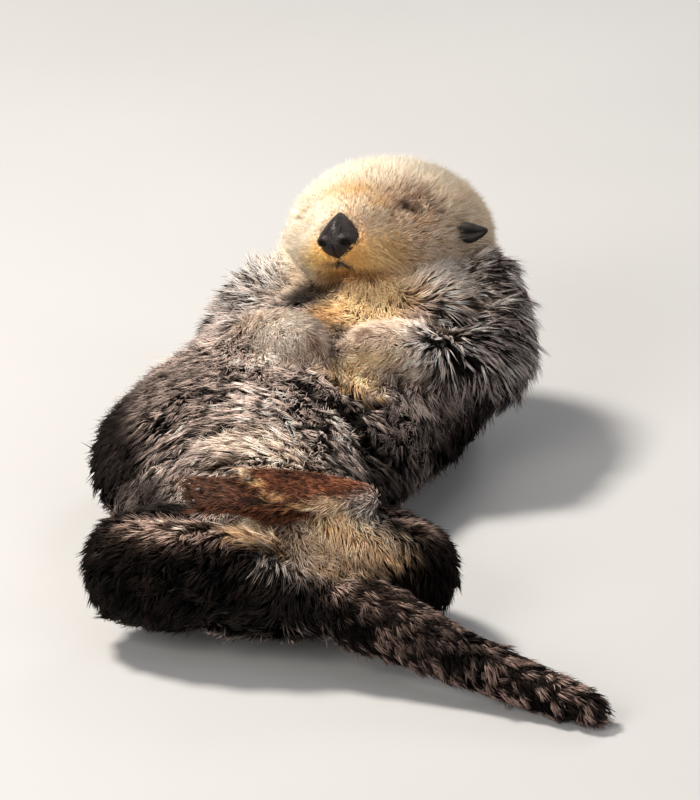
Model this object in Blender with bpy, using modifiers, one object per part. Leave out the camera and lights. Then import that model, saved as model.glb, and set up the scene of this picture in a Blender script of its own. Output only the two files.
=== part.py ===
"""A sea otter asleep on its back, life size, as one still model in separate named solids.

Metres, +Z up. The head is towards +Y and the belly faces up, so the otter's left side is at +X. The
origin is in the middle of the flat on its back, which lies on the surface at z = 0. The solids are the
outside of the coat.

Trunk, neck, head and tail are lofts and rounded masses fused into one smooth form, which planes then
part. The limbs are fused the same way and trimmed where they lie against the body.
"""
import math

import bmesh
import bpy
from mathutils import Matrix, Vector

# ---------------------------------------------------------------- driving dimensions
GAP = 0.0004                    # clearance between neighbouring solids
FINE_VOXEL = 0.004              # fusing grid of the body and the limbs
FOOT_VOXEL = 0.0022             # fusing grid of the webbed feet
# triangles of each fused form after thinning
BODY_FACES, ARM_FACES, PAW_FACES, LEG_FACES, FOOT_FACES = 3300, 320, 180, 360, 420

HEAD_CENTRE = Vector((0.041, 0.302, 0.190))
HEAD_FORWARD = Vector((-0.328, -0.824, 0.462)).normalized()   # the way the nose points
HEAD_CROWN = Vector((-0.043, 0.501, 0.864))                   # the way the crown points, made square below

FLANK = 0.34                    # height of the trunk's widest place, as a share of its top
TRUNK_SAG = 0.16                # how far the trunk narrows from its widest place to its top
# y, x, half width, top z, bottom z of the trunk, from the rump to the base of the neck
TRUNK = (
    (-0.318, 0.016, 0.022, 0.086, 0.044),
    (-0.295, 0.010, 0.066, 0.106, 0.026),
    (-0.240, 0.002, 0.096, 0.132, 0.012),
    (-0.160, -0.018, 0.112, 0.146, -0.008),
    (-0.080, -0.038, 0.122, 0.150, -0.010),
    (0.000, -0.052, 0.147, 0.154, -0.010),
    (0.080, -0.044, 0.164, 0.163, -0.010),
    (0.160, -0.013, 0.162, 0.172, -0.010),
    (0.230, 0.018, 0.138, 0.180, -0.006),
    (0.300, 0.041, 0.106, 0.172, 0.016),
    (0.350, 0.044, 0.070, 0.140, 0.055),
)

# x, y, z, half width, half depth of the neck, from the chest up into the head
NECK = (
    (0.026, 0.190, 0.092, 0.120, 0.072),
    (0.038, 0.250, 0.106, 0.112, 0.078),
    (0.044, 0.305, 0.136, 0.098, 0.084),
    (0.046, 0.325, 0.170, 0.088, 0.080),
)

# centre and radii of the folds of loose skin that the head sinks into, on either side of the throat
RUFF = (
    ((0.092, 0.226, 0.152), (0.052, 0.046, 0.048)),
    ((-0.008, 0.236, 0.140), (0.046, 0.042, 0.044)),
)

# x, y, z, half width, half depth of the tail, from inside the rump to its tip
TAIL = (
    (0.000, -0.215, 0.068, 0.060, 0.046),
    (0.045, -0.258, 0.070, 0.052, 0.040),
    (0.105, -0.290, 0.058, 0.040, 0.033),
    (0.180, -0.320, 0.039, 0.030, 0.026),
    (0.255, -0.350, 0.025, 0.023, 0.022),
    (0.312, -0.375, 0.017, 0.018, 0.018),
    (0.332, -0.386, 0.014, 0.008, 0.009),
)

# the parting planes: a point on each, and the way it faces
THROAT, THROAT_NORMAL = Vector((0.022, 0.213, 0.163)), Vector((0.0, 0.55, 0.835))
NECK_BASE, NECK_NORMAL = Vector((0.034, 0.205, 0.150)), Vector((0.10, 0.90, 0.40))
TAIL_ROOT, TAIL_NORMAL = Vector((0.098, -0.290, 0.050)), Vector((0.78, -0.62, 0.0))

# colours as linear red, green and blue
CREAM = (0.72, 0.56, 0.36)
THROAT_FUR = (0.52, 0.40, 0.24)
BODY_FUR = (0.20, 0.15, 0.11)
ARM_FUR = (0.16, 0.11, 0.08)
PAW_FUR = (0.46, 0.36, 0.27)
DARK_FUR = (0.035, 0.022, 0.016)
FOOT_SKIN = (0.12, 0.048, 0.022)
NOSE_SKIN = (0.016, 0.012, 0.012)
LID_SKIN = (0.10, 0.06, 0.035)
EAR_FUR = (0.030, 0.020, 0.015)


# ---------------------------------------------------------------- modelling tools
def collection(name):
    made = bpy.data.collections.new(name)
    bpy.context.scene.collection.children.link(made)
    return made


def spline(rows, steps):
    """Rows of numbers carried along a Catmull-Rom curve, with this many steps between two rows."""
    rows = [Vector(row) for row in rows]
    ends = [2 * rows[0] - rows[1], *rows, 2 * rows[-1] - rows[-2]]
    made = []
    for k in range(1, len(ends) - 2):
        before, start, end, after = ends[k - 1:k + 3]
        for step in range(steps):
            t = step / steps
            made.append(0.5 * (2 * start + (end - before) * t
                               + (2 * before - 5 * start + 4 * end - after) * t * t
                               + (3 * start - before - 3 * end + after) * t ** 3))
    made.append(rows[-1])
    return made


def loft(mesh, stations, steps=5, sides=28, facing=None, sag=0.0):
    """A closed tube of oval rings with their width kept level, square to the path or all facing one way.

    Sag narrows the upper half towards its top, as the flanks of a resting body do.

    A station is x, y, z, half width and height above and, where it differs, height below.
    """
    rows = spline(stations, steps)
    rings = []
    for k, row in enumerate(rows):
        centre = Vector(row[:3])
        ahead, behind = rows[min(k + 1, len(rows) - 1)], rows[max(k - 1, 0)]
        along = (Vector(ahead[:3]) - Vector(behind[:3])).normalized()
        along = facing or along
        across = along.cross(Vector((0, 0, 1)))
        across = across.normalized() if across.length > 0.05 else Vector((1, 0, 0))
        deep = across.cross(along)
        turns = [2 * math.pi * side / sides for side in range(sides)]
        ring = []
        for turn in turns:
            wide = row[3] * (1 - sag * max(0.0, math.sin(turn)))
            high = row[4] if turn < math.pi else row[-1]
            offset = across * wide * math.cos(turn) + deep * high * math.sin(turn)
            ring.append(mesh.verts.new(centre + offset))
        rings.append(ring)
    for ring, following in zip(rings, rings[1:]):
        for side in range(sides):
            after = (side + 1) % sides
            mesh.faces.new((ring[side], ring[after], following[after], following[side]))
    mesh.faces.new(rings[0])
    mesh.faces.new(rings[-1])
    bmesh.ops.recalc_face_normals(mesh, faces=mesh.faces)


def lump(mesh, centre, radii, frame=Matrix.Identity(4), sides=28):
    """An ellipsoid of these radii, placed in a frame."""
    bmesh.ops.create_uvsphere(mesh, u_segments=sides, v_segments=sides * 2 // 3, radius=1.0,
                              matrix=frame @ Matrix.Translation(centre) @ Matrix.Diagonal((*radii, 1.0)))


def object_of(mesh, name, home):
    data = bpy.data.meshes.new(name)
    mesh.to_mesh(data)
    mesh.free()
    made = bpy.data.objects.new(name, data)
    home.objects.link(made)
    return made


def settled(obj):
    """The object with its modifiers worked into its mesh."""
    bpy.context.view_layer.update()
    data = bpy.data.meshes.new_from_object(obj.evaluated_get(bpy.context.evaluated_depsgraph_get()))
    obj.modifiers.clear()
    obj.data = data
    return obj


def fuse(obj, voxel, smoothing, faces):
    """One smooth skin round everything in the object, thinned to about this many triangles."""
    remesh = obj.modifiers.new("fuse", "REMESH")
    remesh.mode = "VOXEL"
    remesh.voxel_size = voxel
    smooth = obj.modifiers.new("smooth", "SMOOTH")
    smooth.factor = 0.5
    smooth.iterations = smoothing
    settled(obj)
    obj.data.calc_loop_triangles()
    thin = obj.modifiers.new("thin", "DECIMATE")
    thin.ratio = min(1.0, faces / len(obj.data.loop_triangles))
    return settled(obj)


def copy_of(obj, name, home):
    made = bpy.data.objects.new(name, obj.data.copy())
    home.objects.link(made)
    return made


def grown(obj, by, home):
    """A cutter a little larger than the object all round."""
    cutter = copy_of(obj, f"{obj.name}_room", home)
    swell = cutter.modifiers.new("swell", "DISPLACE")
    swell.mid_level = 0.0
    swell.strength = by
    return as_cutter(settled(cutter))


def as_cutter(obj):
    obj.hide_render = True
    obj.display_type = "WIRE"
    return obj


def boolean(obj, other, operation):
    step = obj.modifiers.new(operation.lower(), "BOOLEAN")
    step.operation = operation
    step.object = other
    return settled(obj)


def largest(obj):
    """Keeps the largest of the bodies that a cut left."""
    mesh = bmesh.new()
    mesh.from_mesh(obj.data)
    waiting = set(mesh.verts)
    groups = []
    while waiting:
        group = {waiting.pop()}
        edge = list(group)
        while edge:
            near = [e.other_vert(v) for v in edge for e in v.link_edges]
            edge = [v for v in set(near) if v not in group]
            group.update(edge)
        waiting -= group
        groups.append(group)
    groups.sort(key=len)
    bmesh.ops.delete(mesh, geom=[v for group in groups[:-1] for v in group], context="VERTS")
    mesh.to_mesh(obj.data)
    mesh.free()
    return obj


def half_space(point, normal, home, size=1.5):
    """A large box whose one face passes through point, with the rest of it on the side of normal."""
    mesh = bmesh.new()
    turn = normal.to_track_quat("Z", "Y").to_matrix().to_4x4()
    bmesh.ops.create_cube(mesh, size=size,
                          matrix=Matrix.Translation(point + normal * size / 2) @ turn)
    return as_cutter(object_of(mesh, "side", home))


def part_at(obj, point, normal, front_name, home, cutters):
    """Parts the object by a thin plane cut. The piece on normal's side is front_name, and the rest stays."""
    normal = normal.normalized()
    front = copy_of(obj, front_name, home)
    boolean(front, half_space(point + normal * GAP / 2, normal, cutters), "INTERSECT")
    boolean(obj, half_space(point - normal * GAP / 2, normal, cutters), "DIFFERENCE")
    return front


def material(name, colour, roughness):
    made = bpy.data.materials.new(name)
    made.use_nodes = True
    shader = made.node_tree.nodes["Principled BSDF"]
    shader.inputs["Base Color"].default_value = (*colour, 1)
    shader.inputs["Roughness"].default_value = roughness
    shader.inputs["Metallic"].default_value = 0.0
    return made


# ---------------------------------------------------------------- the head, in its own frame
def head_frame():
    """x to the otter's right, y out through the nose, z through the crown."""
    right = HEAD_FORWARD.cross(HEAD_CROWN).normalized()
    crown = right.cross(HEAD_FORWARD).normalized()
    turn = Matrix((right, HEAD_FORWARD, crown)).transposed().to_4x4()
    return Matrix.Translation(HEAD_CENTRE) @ turn


HEAD = head_frame()
SIDES = {"R": 1, "L": -1}

# centre and radii of the rounded masses of the head; side masses are made on both sides
SKULL = ((0.0, -0.008, 0.0), (0.104, 0.097, 0.082))
BRIDGE = ((0.0, 0.058, 0.006), (0.052, 0.046, 0.040))
MUZZLE = ((0.0, 0.078, -0.016), (0.043, 0.034, 0.034))
CHIN = ((0.0, 0.070, -0.038), (0.032, 0.028, 0.019))
WHISKER_PAD = ((0.026, 0.076, -0.024), (0.034, 0.032, 0.028))
CHEEK = ((0.048, 0.034, -0.014), (0.046, 0.052, 0.046))

NOSE_CENTRE = (0.0, 0.106, -0.012)
NOSE_WIDE, NOSE_HIGH, NOSE_DEEP = 0.047, 0.043, 0.026
NOSE_PINCH = 0.42               # how far the pad narrows from its middle to its top and bottom
EYELID_CENTRE = (0.058, 0.065, 0.018)
EYELID_RADII = (0.013, 0.007, 0.005)
# each ear's root, inside the head, and the way to its tip: the left stands out, the right lies back
EARS = {
    "R": (Vector((0.088, 0.034, -0.004)), Vector((0.024, -0.034, 0.010))),
    "L": (Vector((-0.080, 0.030, -0.012)), Vector((-0.036, -0.012, 0.012))),
}
EAR_WIDE, EAR_THICK = 0.0115, 0.0055    # half sizes
EAR_TAPER = 0.30                # how far the ear narrows from its root to its tip


def torso(home):
    """Trunk, neck, head and tail as one fused form."""
    mesh = bmesh.new()
    rings = [(x, y, FLANK * top, wide, (1 - FLANK) * top, FLANK * top - low)
             for y, x, wide, top, low in TRUNK]
    loft(mesh, rings, facing=Vector((0, 1, 0)), sag=TRUNK_SAG)
    loft(mesh, NECK)
    loft(mesh, TAIL)
    for centre, radii in RUFF:
        lump(mesh, centre, radii)
    for centre, radii in (SKULL, BRIDGE, MUZZLE, CHIN):
        lump(mesh, centre, radii, HEAD)
    for (x, y, z), radii in (WHISKER_PAD, CHEEK):
        for side in SIDES.values():
            lump(mesh, (side * x, y, z), radii, HEAD)
    return fuse(object_of(mesh, "trunk", home), FINE_VOXEL, 30, BODY_FACES)


def nose_pad(home):
    """A bulging diamond with blunt corners."""
    mesh = bmesh.new()
    bmesh.ops.create_uvsphere(mesh, u_segments=16, v_segments=10, radius=1.0)
    for vert in mesh.verts:
        x, y, z = vert.co
        pinch = 1 - NOSE_PINCH * abs(z) ** 1.3
        vert.co = (x * pinch * NOSE_WIDE / 2, y * NOSE_DEEP / 2, z * NOSE_HIGH / 2)
    bmesh.ops.transform(mesh, matrix=HEAD @ Matrix.Translation(NOSE_CENTRE), verts=mesh.verts)
    return object_of(mesh, "nose", home)


def eyelid(side, home):
    """The closed lids: a low rounded ridge that follows the skull."""
    x, y, z = EYELID_CENTRE
    out = Vector((SIDES[side] * x, y - SKULL[0][1], z)).normalized()
    across = Vector((0, 0, 1)).cross(out).normalized()
    up = out.cross(across)
    turn = Matrix((across, up, out)).transposed().to_4x4()
    mesh = bmesh.new()
    lump(mesh, (0, 0, 0), EYELID_RADII, HEAD @ Matrix.Translation((SIDES[side] * x, y, z)) @ turn, 12)
    return object_of(mesh, f"eyelid_{side}", home)


def ear(side, home):
    """A small thick leaf, rounded at the tip, with its flat side along the side of the head."""
    root, reach = EARS[side]
    along = reach.normalized()
    thick = Vector((0, 0, 1)).cross(along).normalized()
    turn = Matrix((along, thick, along.cross(thick))).transposed().to_4x4()
    mesh = bmesh.new()
    bmesh.ops.create_uvsphere(mesh, u_segments=14, v_segments=10, radius=1.0)
    for vert in mesh.verts:
        x, y, z = vert.co
        taper = 1 - EAR_TAPER * (x + 1) / 2
        vert.co = (x * reach.length / 2, y * EAR_THICK * taper, z * EAR_WIDE * taper)
    bmesh.ops.transform(mesh, matrix=HEAD @ Matrix.Translation(root + reach / 2) @ turn, verts=mesh.verts)
    return object_of(mesh, f"ear_{side}", home)


# ---------------------------------------------------------------- limbs: x, y, z, half width, half depth
FORELEGS = {
    "R": {
        "arm": ((-0.004, 0.275, 0.118, 0.050, 0.050), (-0.047, 0.270, 0.131, 0.048, 0.050),
                (-0.076, 0.232, 0.114, 0.042, 0.043), (-0.086, 0.182, 0.112, 0.037, 0.037),
                (-0.064, 0.140, 0.134, 0.034, 0.034)),
        "paw": ((-0.058, 0.132, 0.146, 0.032, 0.026), (-0.038, 0.114, 0.162, 0.031, 0.023),
                (-0.013, 0.092, 0.168, 0.027, 0.019), (0.002, 0.082, 0.166, 0.015, 0.013)),
    },
    "L": {
        "arm": ((0.084, 0.292, 0.140, 0.050, 0.052), (0.119, 0.280, 0.148, 0.050, 0.056),
                (0.144, 0.238, 0.118, 0.047, 0.050), (0.145, 0.190, 0.110, 0.040, 0.040),
                (0.124, 0.148, 0.126, 0.036, 0.034)),
        "paw": ((0.106, 0.142, 0.139, 0.032, 0.026), (0.080, 0.128, 0.152, 0.031, 0.023),
                (0.052, 0.112, 0.158, 0.026, 0.019), (0.037, 0.104, 0.156, 0.015, 0.013)),
    },
}
HIND_LEGS = {
    "R": ((-0.050, -0.190, 0.074, 0.044, 0.044), (-0.094, -0.228, 0.074, 0.052, 0.050),
          (-0.114, -0.256, 0.074, 0.048, 0.050), (-0.064, -0.274, 0.078, 0.048, 0.052),
          (0.004, -0.280, 0.090, 0.038, 0.042)),
    "L": ((0.050, -0.140, 0.066, 0.044, 0.044), (0.098, -0.172, 0.066, 0.048, 0.046),
          (0.134, -0.204, 0.066, 0.044, 0.046), (0.112, -0.242, 0.090, 0.038, 0.042),
          (0.076, -0.240, 0.122, 0.032, 0.030)),
}
# ankle, end of the middle toe, width across the toes, shortening to the inner toe
HIND_FEET = {
    "R": (Vector((0.018, -0.250, 0.142)), Vector((-0.056, -0.262, 0.154)), 0.032, 0.10),
    "L": (Vector((0.080, -0.240, 0.150)), Vector((-0.014, -0.262, 0.163)), 0.036, 0.34),
}
OUTER_EDGE = Vector((0.0, 0.96, 0.28))    # the way the outer edge of both feet faces
TOES = 5
TOE_RADIUS = 0.0075


def webbed_foot(name, ankle, tip, spread, shorter, home):
    """Five long toes in a fan, joined by a web. The outer toe is longest, and the others end before it."""
    along = tip - ankle
    length = along.length
    along.normalize()
    across = (OUTER_EDGE - along * OUTER_EDGE.dot(along)).normalized()
    up = across.cross(along)
    turn = Matrix((along, across, up)).transposed().to_4x4()
    mesh = bmesh.new()
    toes = []
    for toe in range(TOES):
        share = toe / (TOES - 1)
        root = ankle + across * spread * 0.34 * (1 - 2 * share)
        end = ankle + along * length * (1 - shorter * share) + across * spread * (0.5 - share)
        knuckle = (root + end) / 2 + up * 0.004
        toes.append((root, end))
        along_toe = [(*root, 0.009, 0.009), (*knuckle, TOE_RADIUS, TOE_RADIUS), (*end, 0.0065, 0.0060)]
        loft(mesh, along_toe, 4, 12)
        lump(mesh, end, (0.0070, 0.0070, 0.0062))
    for (root, end), (next_root, next_end) in zip(toes, toes[1:]):
        for share in (0.15, 0.35, 0.55, 0.72, 0.86):
            middle = (root.lerp(end, share) + next_root.lerp(next_end, share)) / 2
            lump(mesh, (0, 0, 0), (0.020, spread * 0.16, 0.0052), Matrix.Translation(middle) @ turn)
    lump(mesh, (0, 0, 0), (0.030, spread * 0.46, 0.014), Matrix.Translation(ankle) @ turn)
    return fuse(object_of(mesh, name, home), FOOT_VOXEL, 3, FOOT_FACES)


def limb(name, stations, faces, home):
    mesh = bmesh.new()
    loft(mesh, stations)
    for end in (stations[0], stations[-1]):
        reach = min(end[3], end[4])
        lump(mesh, end[:3], (reach, reach, reach))
    return fuse(object_of(mesh, name, home), FINE_VOXEL, 4, faces)


def build():
    for old in list(bpy.data.objects):
        bpy.data.objects.remove(old, do_unlink=True)
    otter = collection("sea_otter")
    cutters = collection("cutters")

    # one fused form stands on its flat, then thin cuts part it at the throat, neck and root of the tail
    floor = half_space(Vector((0, 0, 0)), Vector((0, 0, -1)), cutters, 3.0)
    trunk = boolean(torso(otter), floor, "DIFFERENCE")
    body_room = grown(trunk, GAP, cutters)
    head = part_at(trunk, THROAT, THROAT_NORMAL, "head", otter, cutters)
    neck = part_at(trunk, NECK_BASE, NECK_NORMAL, "neck", otter, cutters)
    tail = part_at(trunk, TAIL_ROOT, TAIL_NORMAL, "tail", otter, cutters)

    # the nose pad and the closed lids sit in pockets of the head; the ears end on it
    small = [nose_pad(otter)] + [eyelid(side, otter) for side in SIDES]
    for piece in small:
        boolean(head, grown(piece, GAP, cutters), "DIFFERENCE")
    ears = [ear(side, otter) for side in SIDES]
    for piece in ears:
        largest(boolean(piece, body_room, "DIFFERENCE"))

    # limbs lie against the body, and each piece ends on the ones made before it
    limbs = []
    for side in SIDES:
        limbs.append(limb(f"foreleg_{side}", FORELEGS[side]["arm"], ARM_FACES, otter))
        limbs.append(limb(f"forepaw_{side}", FORELEGS[side]["paw"], PAW_FACES, otter))
        limbs.append(limb(f"hind_leg_{side}", HIND_LEGS[side], LEG_FACES, otter))
    for side in ("L", "R"):
        limbs.append(webbed_foot(f"hind_foot_{side}", *HIND_FEET[side], otter))
    taken = [body_room] + [grown(piece, GAP, cutters) for piece in ears]
    for piece in limbs:
        room = grown(piece, GAP, cutters)
        boolean(piece, floor, "DIFFERENCE")
        for other in taken:
            boolean(piece, other, "DIFFERENCE")
        largest(piece)
        taken.append(room)

    coats = {
        "head": ("cream_fur", CREAM, 0.85), "neck": ("throat_fur", THROAT_FUR, 0.85),
        "trunk": ("body_fur", BODY_FUR, 0.8), "tail": ("tail_fur", DARK_FUR, 0.7),
        "foreleg": ("arm_fur", ARM_FUR, 0.75), "forepaw": ("paw_fur", PAW_FUR, 0.8),
        "hind_leg": ("leg_fur", DARK_FUR, 0.7), "hind_foot": ("foot_skin", FOOT_SKIN, 0.6),
        "nose": ("nose_skin", NOSE_SKIN, 0.4), "eyelid": ("lid_skin", LID_SKIN, 0.6),
        "ear": ("ear_fur", EAR_FUR, 0.7),
    }
    made = {kind: material(*values) for kind, values in coats.items()}
    for piece in [head, neck, trunk, tail, *small, *ears, *limbs]:
        kind = piece.name.removesuffix("_R").removesuffix("_L")
        piece.data.materials.clear()
        piece.data.materials.append(made[kind])


build()
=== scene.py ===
"""A sea otter asleep on its back, life size: its skin, coat, nose, lips, lids, ears, whiskers and claws.

Metres, +Z up, head towards +Y and belly up, so that the otter's left is at +X.
"""

import math

import bmesh
import bpy
import numpy as np
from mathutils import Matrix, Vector, noise
from mathutils.bvhtree import BVHTree
from mathutils.kdtree import KDTree


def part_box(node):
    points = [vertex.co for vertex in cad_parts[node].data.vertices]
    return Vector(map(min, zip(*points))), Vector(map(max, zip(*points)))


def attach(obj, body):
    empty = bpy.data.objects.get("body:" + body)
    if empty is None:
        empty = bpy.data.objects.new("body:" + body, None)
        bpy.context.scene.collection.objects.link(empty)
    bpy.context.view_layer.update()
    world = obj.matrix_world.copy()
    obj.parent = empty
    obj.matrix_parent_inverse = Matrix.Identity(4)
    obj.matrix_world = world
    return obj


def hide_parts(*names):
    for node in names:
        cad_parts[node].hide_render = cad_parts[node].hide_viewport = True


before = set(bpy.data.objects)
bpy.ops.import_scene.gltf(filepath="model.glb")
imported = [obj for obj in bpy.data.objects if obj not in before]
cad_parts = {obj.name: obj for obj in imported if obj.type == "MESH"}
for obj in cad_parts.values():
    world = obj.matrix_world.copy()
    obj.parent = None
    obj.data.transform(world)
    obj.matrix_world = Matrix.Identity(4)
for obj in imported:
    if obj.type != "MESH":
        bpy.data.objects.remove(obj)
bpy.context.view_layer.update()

# ---------------------------------------------------------------- the skin
# The otter's own hide under its coat: one closed skin over head, body, limbs and tail, with no seam.
# It is formed round the solids of the flesh, which it stands for, and lies inside them by the coat's depth.
# Where the coat is thin, on the feet, the lips and round the eyes, it is what shows.

FLESH = ("head", "neck", "trunk", "tail", "foreleg_L", "foreleg_R", "forepaw_L", "forepaw_R",
         "hind_leg_L", "hind_leg_R", "hind_foot_L", "hind_foot_R")
# the kinds of flesh that differ in their coat, the last being the lower part of the head's solid
KINDS = ("head", "neck", "trunk", "tail", "foreleg", "forepaw", "hind_leg", "hind_foot", "throat")
HEAD, THROAT, FOOT = (KINDS.index(kind) for kind in ("head", "throat", "hind_foot"))
DEPTH = {"head": 0.0092, "neck": 0.012, "trunk": 0.013, "tail": 0.0065, "foreleg": 0.012,
         "forepaw": 0.0085, "hind_leg": 0.010, "hind_foot": 0.0026, "throat": 0.012}
SKIN_GRID = 0.0034          # size of a face of the skin
SEAM_LAP = 0.0006           # how far the solids are swollen, so that they run into each other
BROW_DROP = math.radians(36.2)      # how far below the face's outlook the nose lies, seen from the eyes


def middle(node):
    """The middle of a solid's box, as an array."""
    low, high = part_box(node)
    return np.array((low + high) / 2)


def unit(vectors):
    """Vectors, one or many, at length 1."""
    vectors = np.asarray(vectors, float)
    return vectors / np.maximum(np.linalg.norm(vectors, axis=-1, keepdims=True), 1e-12)


def ease(low, high, value):
    """0 below low and 1 above high, with a soft step between."""
    share = np.clip((np.asarray(value, float) - low) / (high - low), 0, 1)
    return share * share * (3 - 2 * share)


def largest(form):
    """Leaves only the biggest connected part of a bmesh."""
    left, parts = set(form.verts), []
    while left:
        part, edge = set(), [next(iter(left))]
        while edge:
            vert = edge.pop()
            if vert in part:
                continue
            part.add(vert)
            edge.extend(e.other_vert(vert) for e in vert.link_edges)
        left -= part
        parts.append(part)
    keep = max(parts, key=len)
    bmesh.ops.delete(form, geom=[v for v in form.verts if v not in keep], context="VERTS")


def points_of(mesh):
    """The points of a mesh, as an array."""
    flat = np.empty(len(mesh.vertices) * 3, np.float32)
    mesh.vertices.foreach_get("co", flat)
    return flat.reshape(-1, 3).astype(float)


def spread(values, edges, rounds, share=0.5):
    """Evens out values over the skin: each round takes a point towards the mean of its neighbours."""
    count = np.bincount(edges.ravel(), minlength=len(values))
    first, second = edges[:, 0], edges[:, 1]
    values = values.copy()
    for _ in range(rounds):
        for column in values.T:
            total = np.bincount(first, column[second], len(column))
            total += np.bincount(second, column[first], len(column))
            column += share * (total / count - column)
    return values


def normals_of(points, corners):
    """The normal at each point of a mesh of triangles."""
    a, b, c = (points[corners[:, k]] for k in range(3))
    face = np.cross(b - a, c - a)
    total = [np.bincount(corners.ravel(), np.repeat(face[:, k], 3), len(points)) for k in range(3)]
    return unit(np.stack(total, 1))


nose_mid = middle("nose")
lid_mid = {side: middle("eyelid_" + side) for side in "LR"}
head_mid = middle("head")
face_left = unit(lid_mid["L"] - lid_mid["R"])                      # the way to the otter's left
to_nose = unit(nose_mid - (lid_mid["L"] + lid_mid["R"]) / 2)
over_nose = np.cross(face_left, to_nose)
over_nose *= np.sign(over_nose[2])
face_out = to_nose * math.cos(BROW_DROP) + over_nose * math.sin(BROW_DROP)     # the way the nose points
face_up = over_nose * math.cos(BROW_DROP) - to_nose * math.sin(BROW_DROP)      # the way the crown points
face_ways = np.stack([face_left, face_up, face_out])


def on_face(left, up, out):
    """A place on the head from the nose's middle, in metres to its left, crown and front."""
    return nose_mid + np.array((left, up, out)) @ face_ways


def into_scene(name, data):
    """A new object for a mesh, a lamp or a camera, in the scene."""
    thing = bpy.data.objects.new(name, data)
    bpy.context.scene.collection.objects.link(thing)
    return thing


# the solids run into each other, and a fine net is drawn round them all as one
form = bmesh.new()
for name in FLESH:
    form.from_mesh(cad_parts[name].data)
bmesh.ops.remove_doubles(form, verts=form.verts, dist=1e-5)
form.normal_update()
for vert in form.verts:
    vert.co += vert.normal * SEAM_LAP
mesh = bpy.data.meshes.new("form")
form.to_mesh(mesh)
form.free()
holder = into_scene("form", mesh)
remesh = holder.modifiers.new("one skin", "REMESH")
remesh.mode = "VOXEL"
remesh.voxel_size = SKIN_GRID
evaluated = holder.evaluated_get(bpy.context.evaluated_depsgraph_get())
form = bmesh.new()
form.from_mesh(evaluated.to_mesh())
evaluated.to_mesh_clear()
bpy.data.objects.remove(holder)
largest(form)

# the face and the feet get faces half that size: a middle and a reach for each
FINE = ((nose_mid, 0.075), (lid_mid["L"], 0.032), (lid_mid["R"], 0.024),
        (middle("hind_foot_L"), 0.075), (middle("hind_foot_R"), 0.062))
finer = {v for v in form.verts if any((v.co - Vector(spot)).length < reach for spot, reach in FINE)}
fine_edges = {e for v in finer for e in v.link_edges if e.other_vert(v) in finer}
bmesh.ops.subdivide_edges(form, edges=sorted(fine_edges, key=lambda e: e.index), cuts=1, use_grid_fill=True)
bmesh.ops.triangulate(form, faces=form.faces)
skin_mesh = bpy.data.meshes.new("skin")
form.to_mesh(skin_mesh)
form.free()

edges = np.empty(len(skin_mesh.edges) * 2, np.int32)
skin_mesh.edges.foreach_get("vertices", edges)
edges = edges.reshape(-1, 2)
corners = np.empty(len(skin_mesh.loops), np.int32)
skin_mesh.loops.foreach_get("vertex_index", corners)
corners = corners.reshape(-1, 3)
outside = spread(points_of(skin_mesh), edges, 6)        # the form out to the tips of the coat

# which solid each point of the skin belongs to, with soft borders between them; the hind feet are too thin to
# be evened out, and keep the form of their solids
tree_points, tree_faces, tree_node = [], [], []
for index, name in enumerate(FLESH):
    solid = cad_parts[name].data
    start = len(tree_points)
    tree_points += [v.co.copy() for v in solid.vertices]
    tree_faces += [[start + k for k in p.vertices] for p in solid.polygons]
    tree_node += [index] * len(solid.polygons)
tree = BVHTree.FromPolygons(tree_points, tree_faces)
nearest = [tree.find_nearest(Vector(p)) for p in outside]
owner = np.array([tree_node[hit[2]] for hit in nearest])
thin = np.isin(owner, [FLESH.index(name) for name in ("hind_foot_L", "hind_foot_R")])
outside[thin] = np.array([tuple(hit[0]) for hit in nearest])[thin]
outside = np.where(thin[:, None], spread(outside, edges, 1), outside)
owner_share = spread(np.eye(len(FLESH))[owner], edges, 14)
owner_share[thin] = spread(np.eye(len(FLESH))[owner], edges, 3)[thin]
kind_of = [KINDS.index(name[:-2] if name[-2] == "_" else name) for name in FLESH]
kind_share = owner_share @ np.eye(len(KINDS))[kind_of]

# the chin and cheeks end at a line that climbs to each ear, and the throat and ruff lie below it
CHIN_DROP = -0.041          # the chin's place below the nose's middle
CHIN_WIDE = (0.030, 0.025)  # how far to the left and to the right the chin's own line is level
CLIMB = (6.5, 14.0)         # how fast the line climbs on the left and on the right
CLIMB_TOP = 0.014           # and how far above the nose's middle it ends
face_at = (outside - nose_mid) @ face_ways.T
past_chin = np.maximum(np.abs(face_at[:, 0]) - np.where(face_at[:, 0] > 0, *CHIN_WIDE), 0)
chin_line = CHIN_DROP + np.where(face_at[:, 0] > 0, *CLIMB) * past_chin ** 2
above_chin = face_at[:, 1] - np.minimum(chin_line, CLIMB_TOP)
throat = 1 - ease(-0.004, 0.004, above_chin)
kind_share[:, THROAT] = kind_share[:, HEAD] * throat
kind_share[:, HEAD] *= 1 - throat
on_head = kind_share[:, HEAD] > 0.5


def by_kind(values):
    """One number for each point of the skin, from a number for each kind of part."""
    return kind_share @ np.array([values[kind] for kind in KINDS])


def from_line(points, line):
    """How far points are from a line through a few places."""
    nearest_yet = np.full(len(points), 9.0)
    for start, end in zip(line, line[1:]):
        start, end = np.array(start, float), np.array(end, float)
        share = ((points - start) @ (end - start) / max((end - start) @ (end - start), 1e-12)).clip(0, 1)
        apart = points - start - np.outer(share, end - start)
        nearest_yet = np.minimum(nearest_yet, np.linalg.norm(apart, axis=1))
    return nearest_yet


def hump(x, y, swelling=(0, 0, 1, 1)):
    """1 in the middle of a soft swelling, given by its middle and two reaches, and 0 well away from it."""
    return np.exp(-((x - swelling[0]) / swelling[2]) ** 2 - ((y - swelling[1]) / swelling[3]) ** 2)


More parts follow.
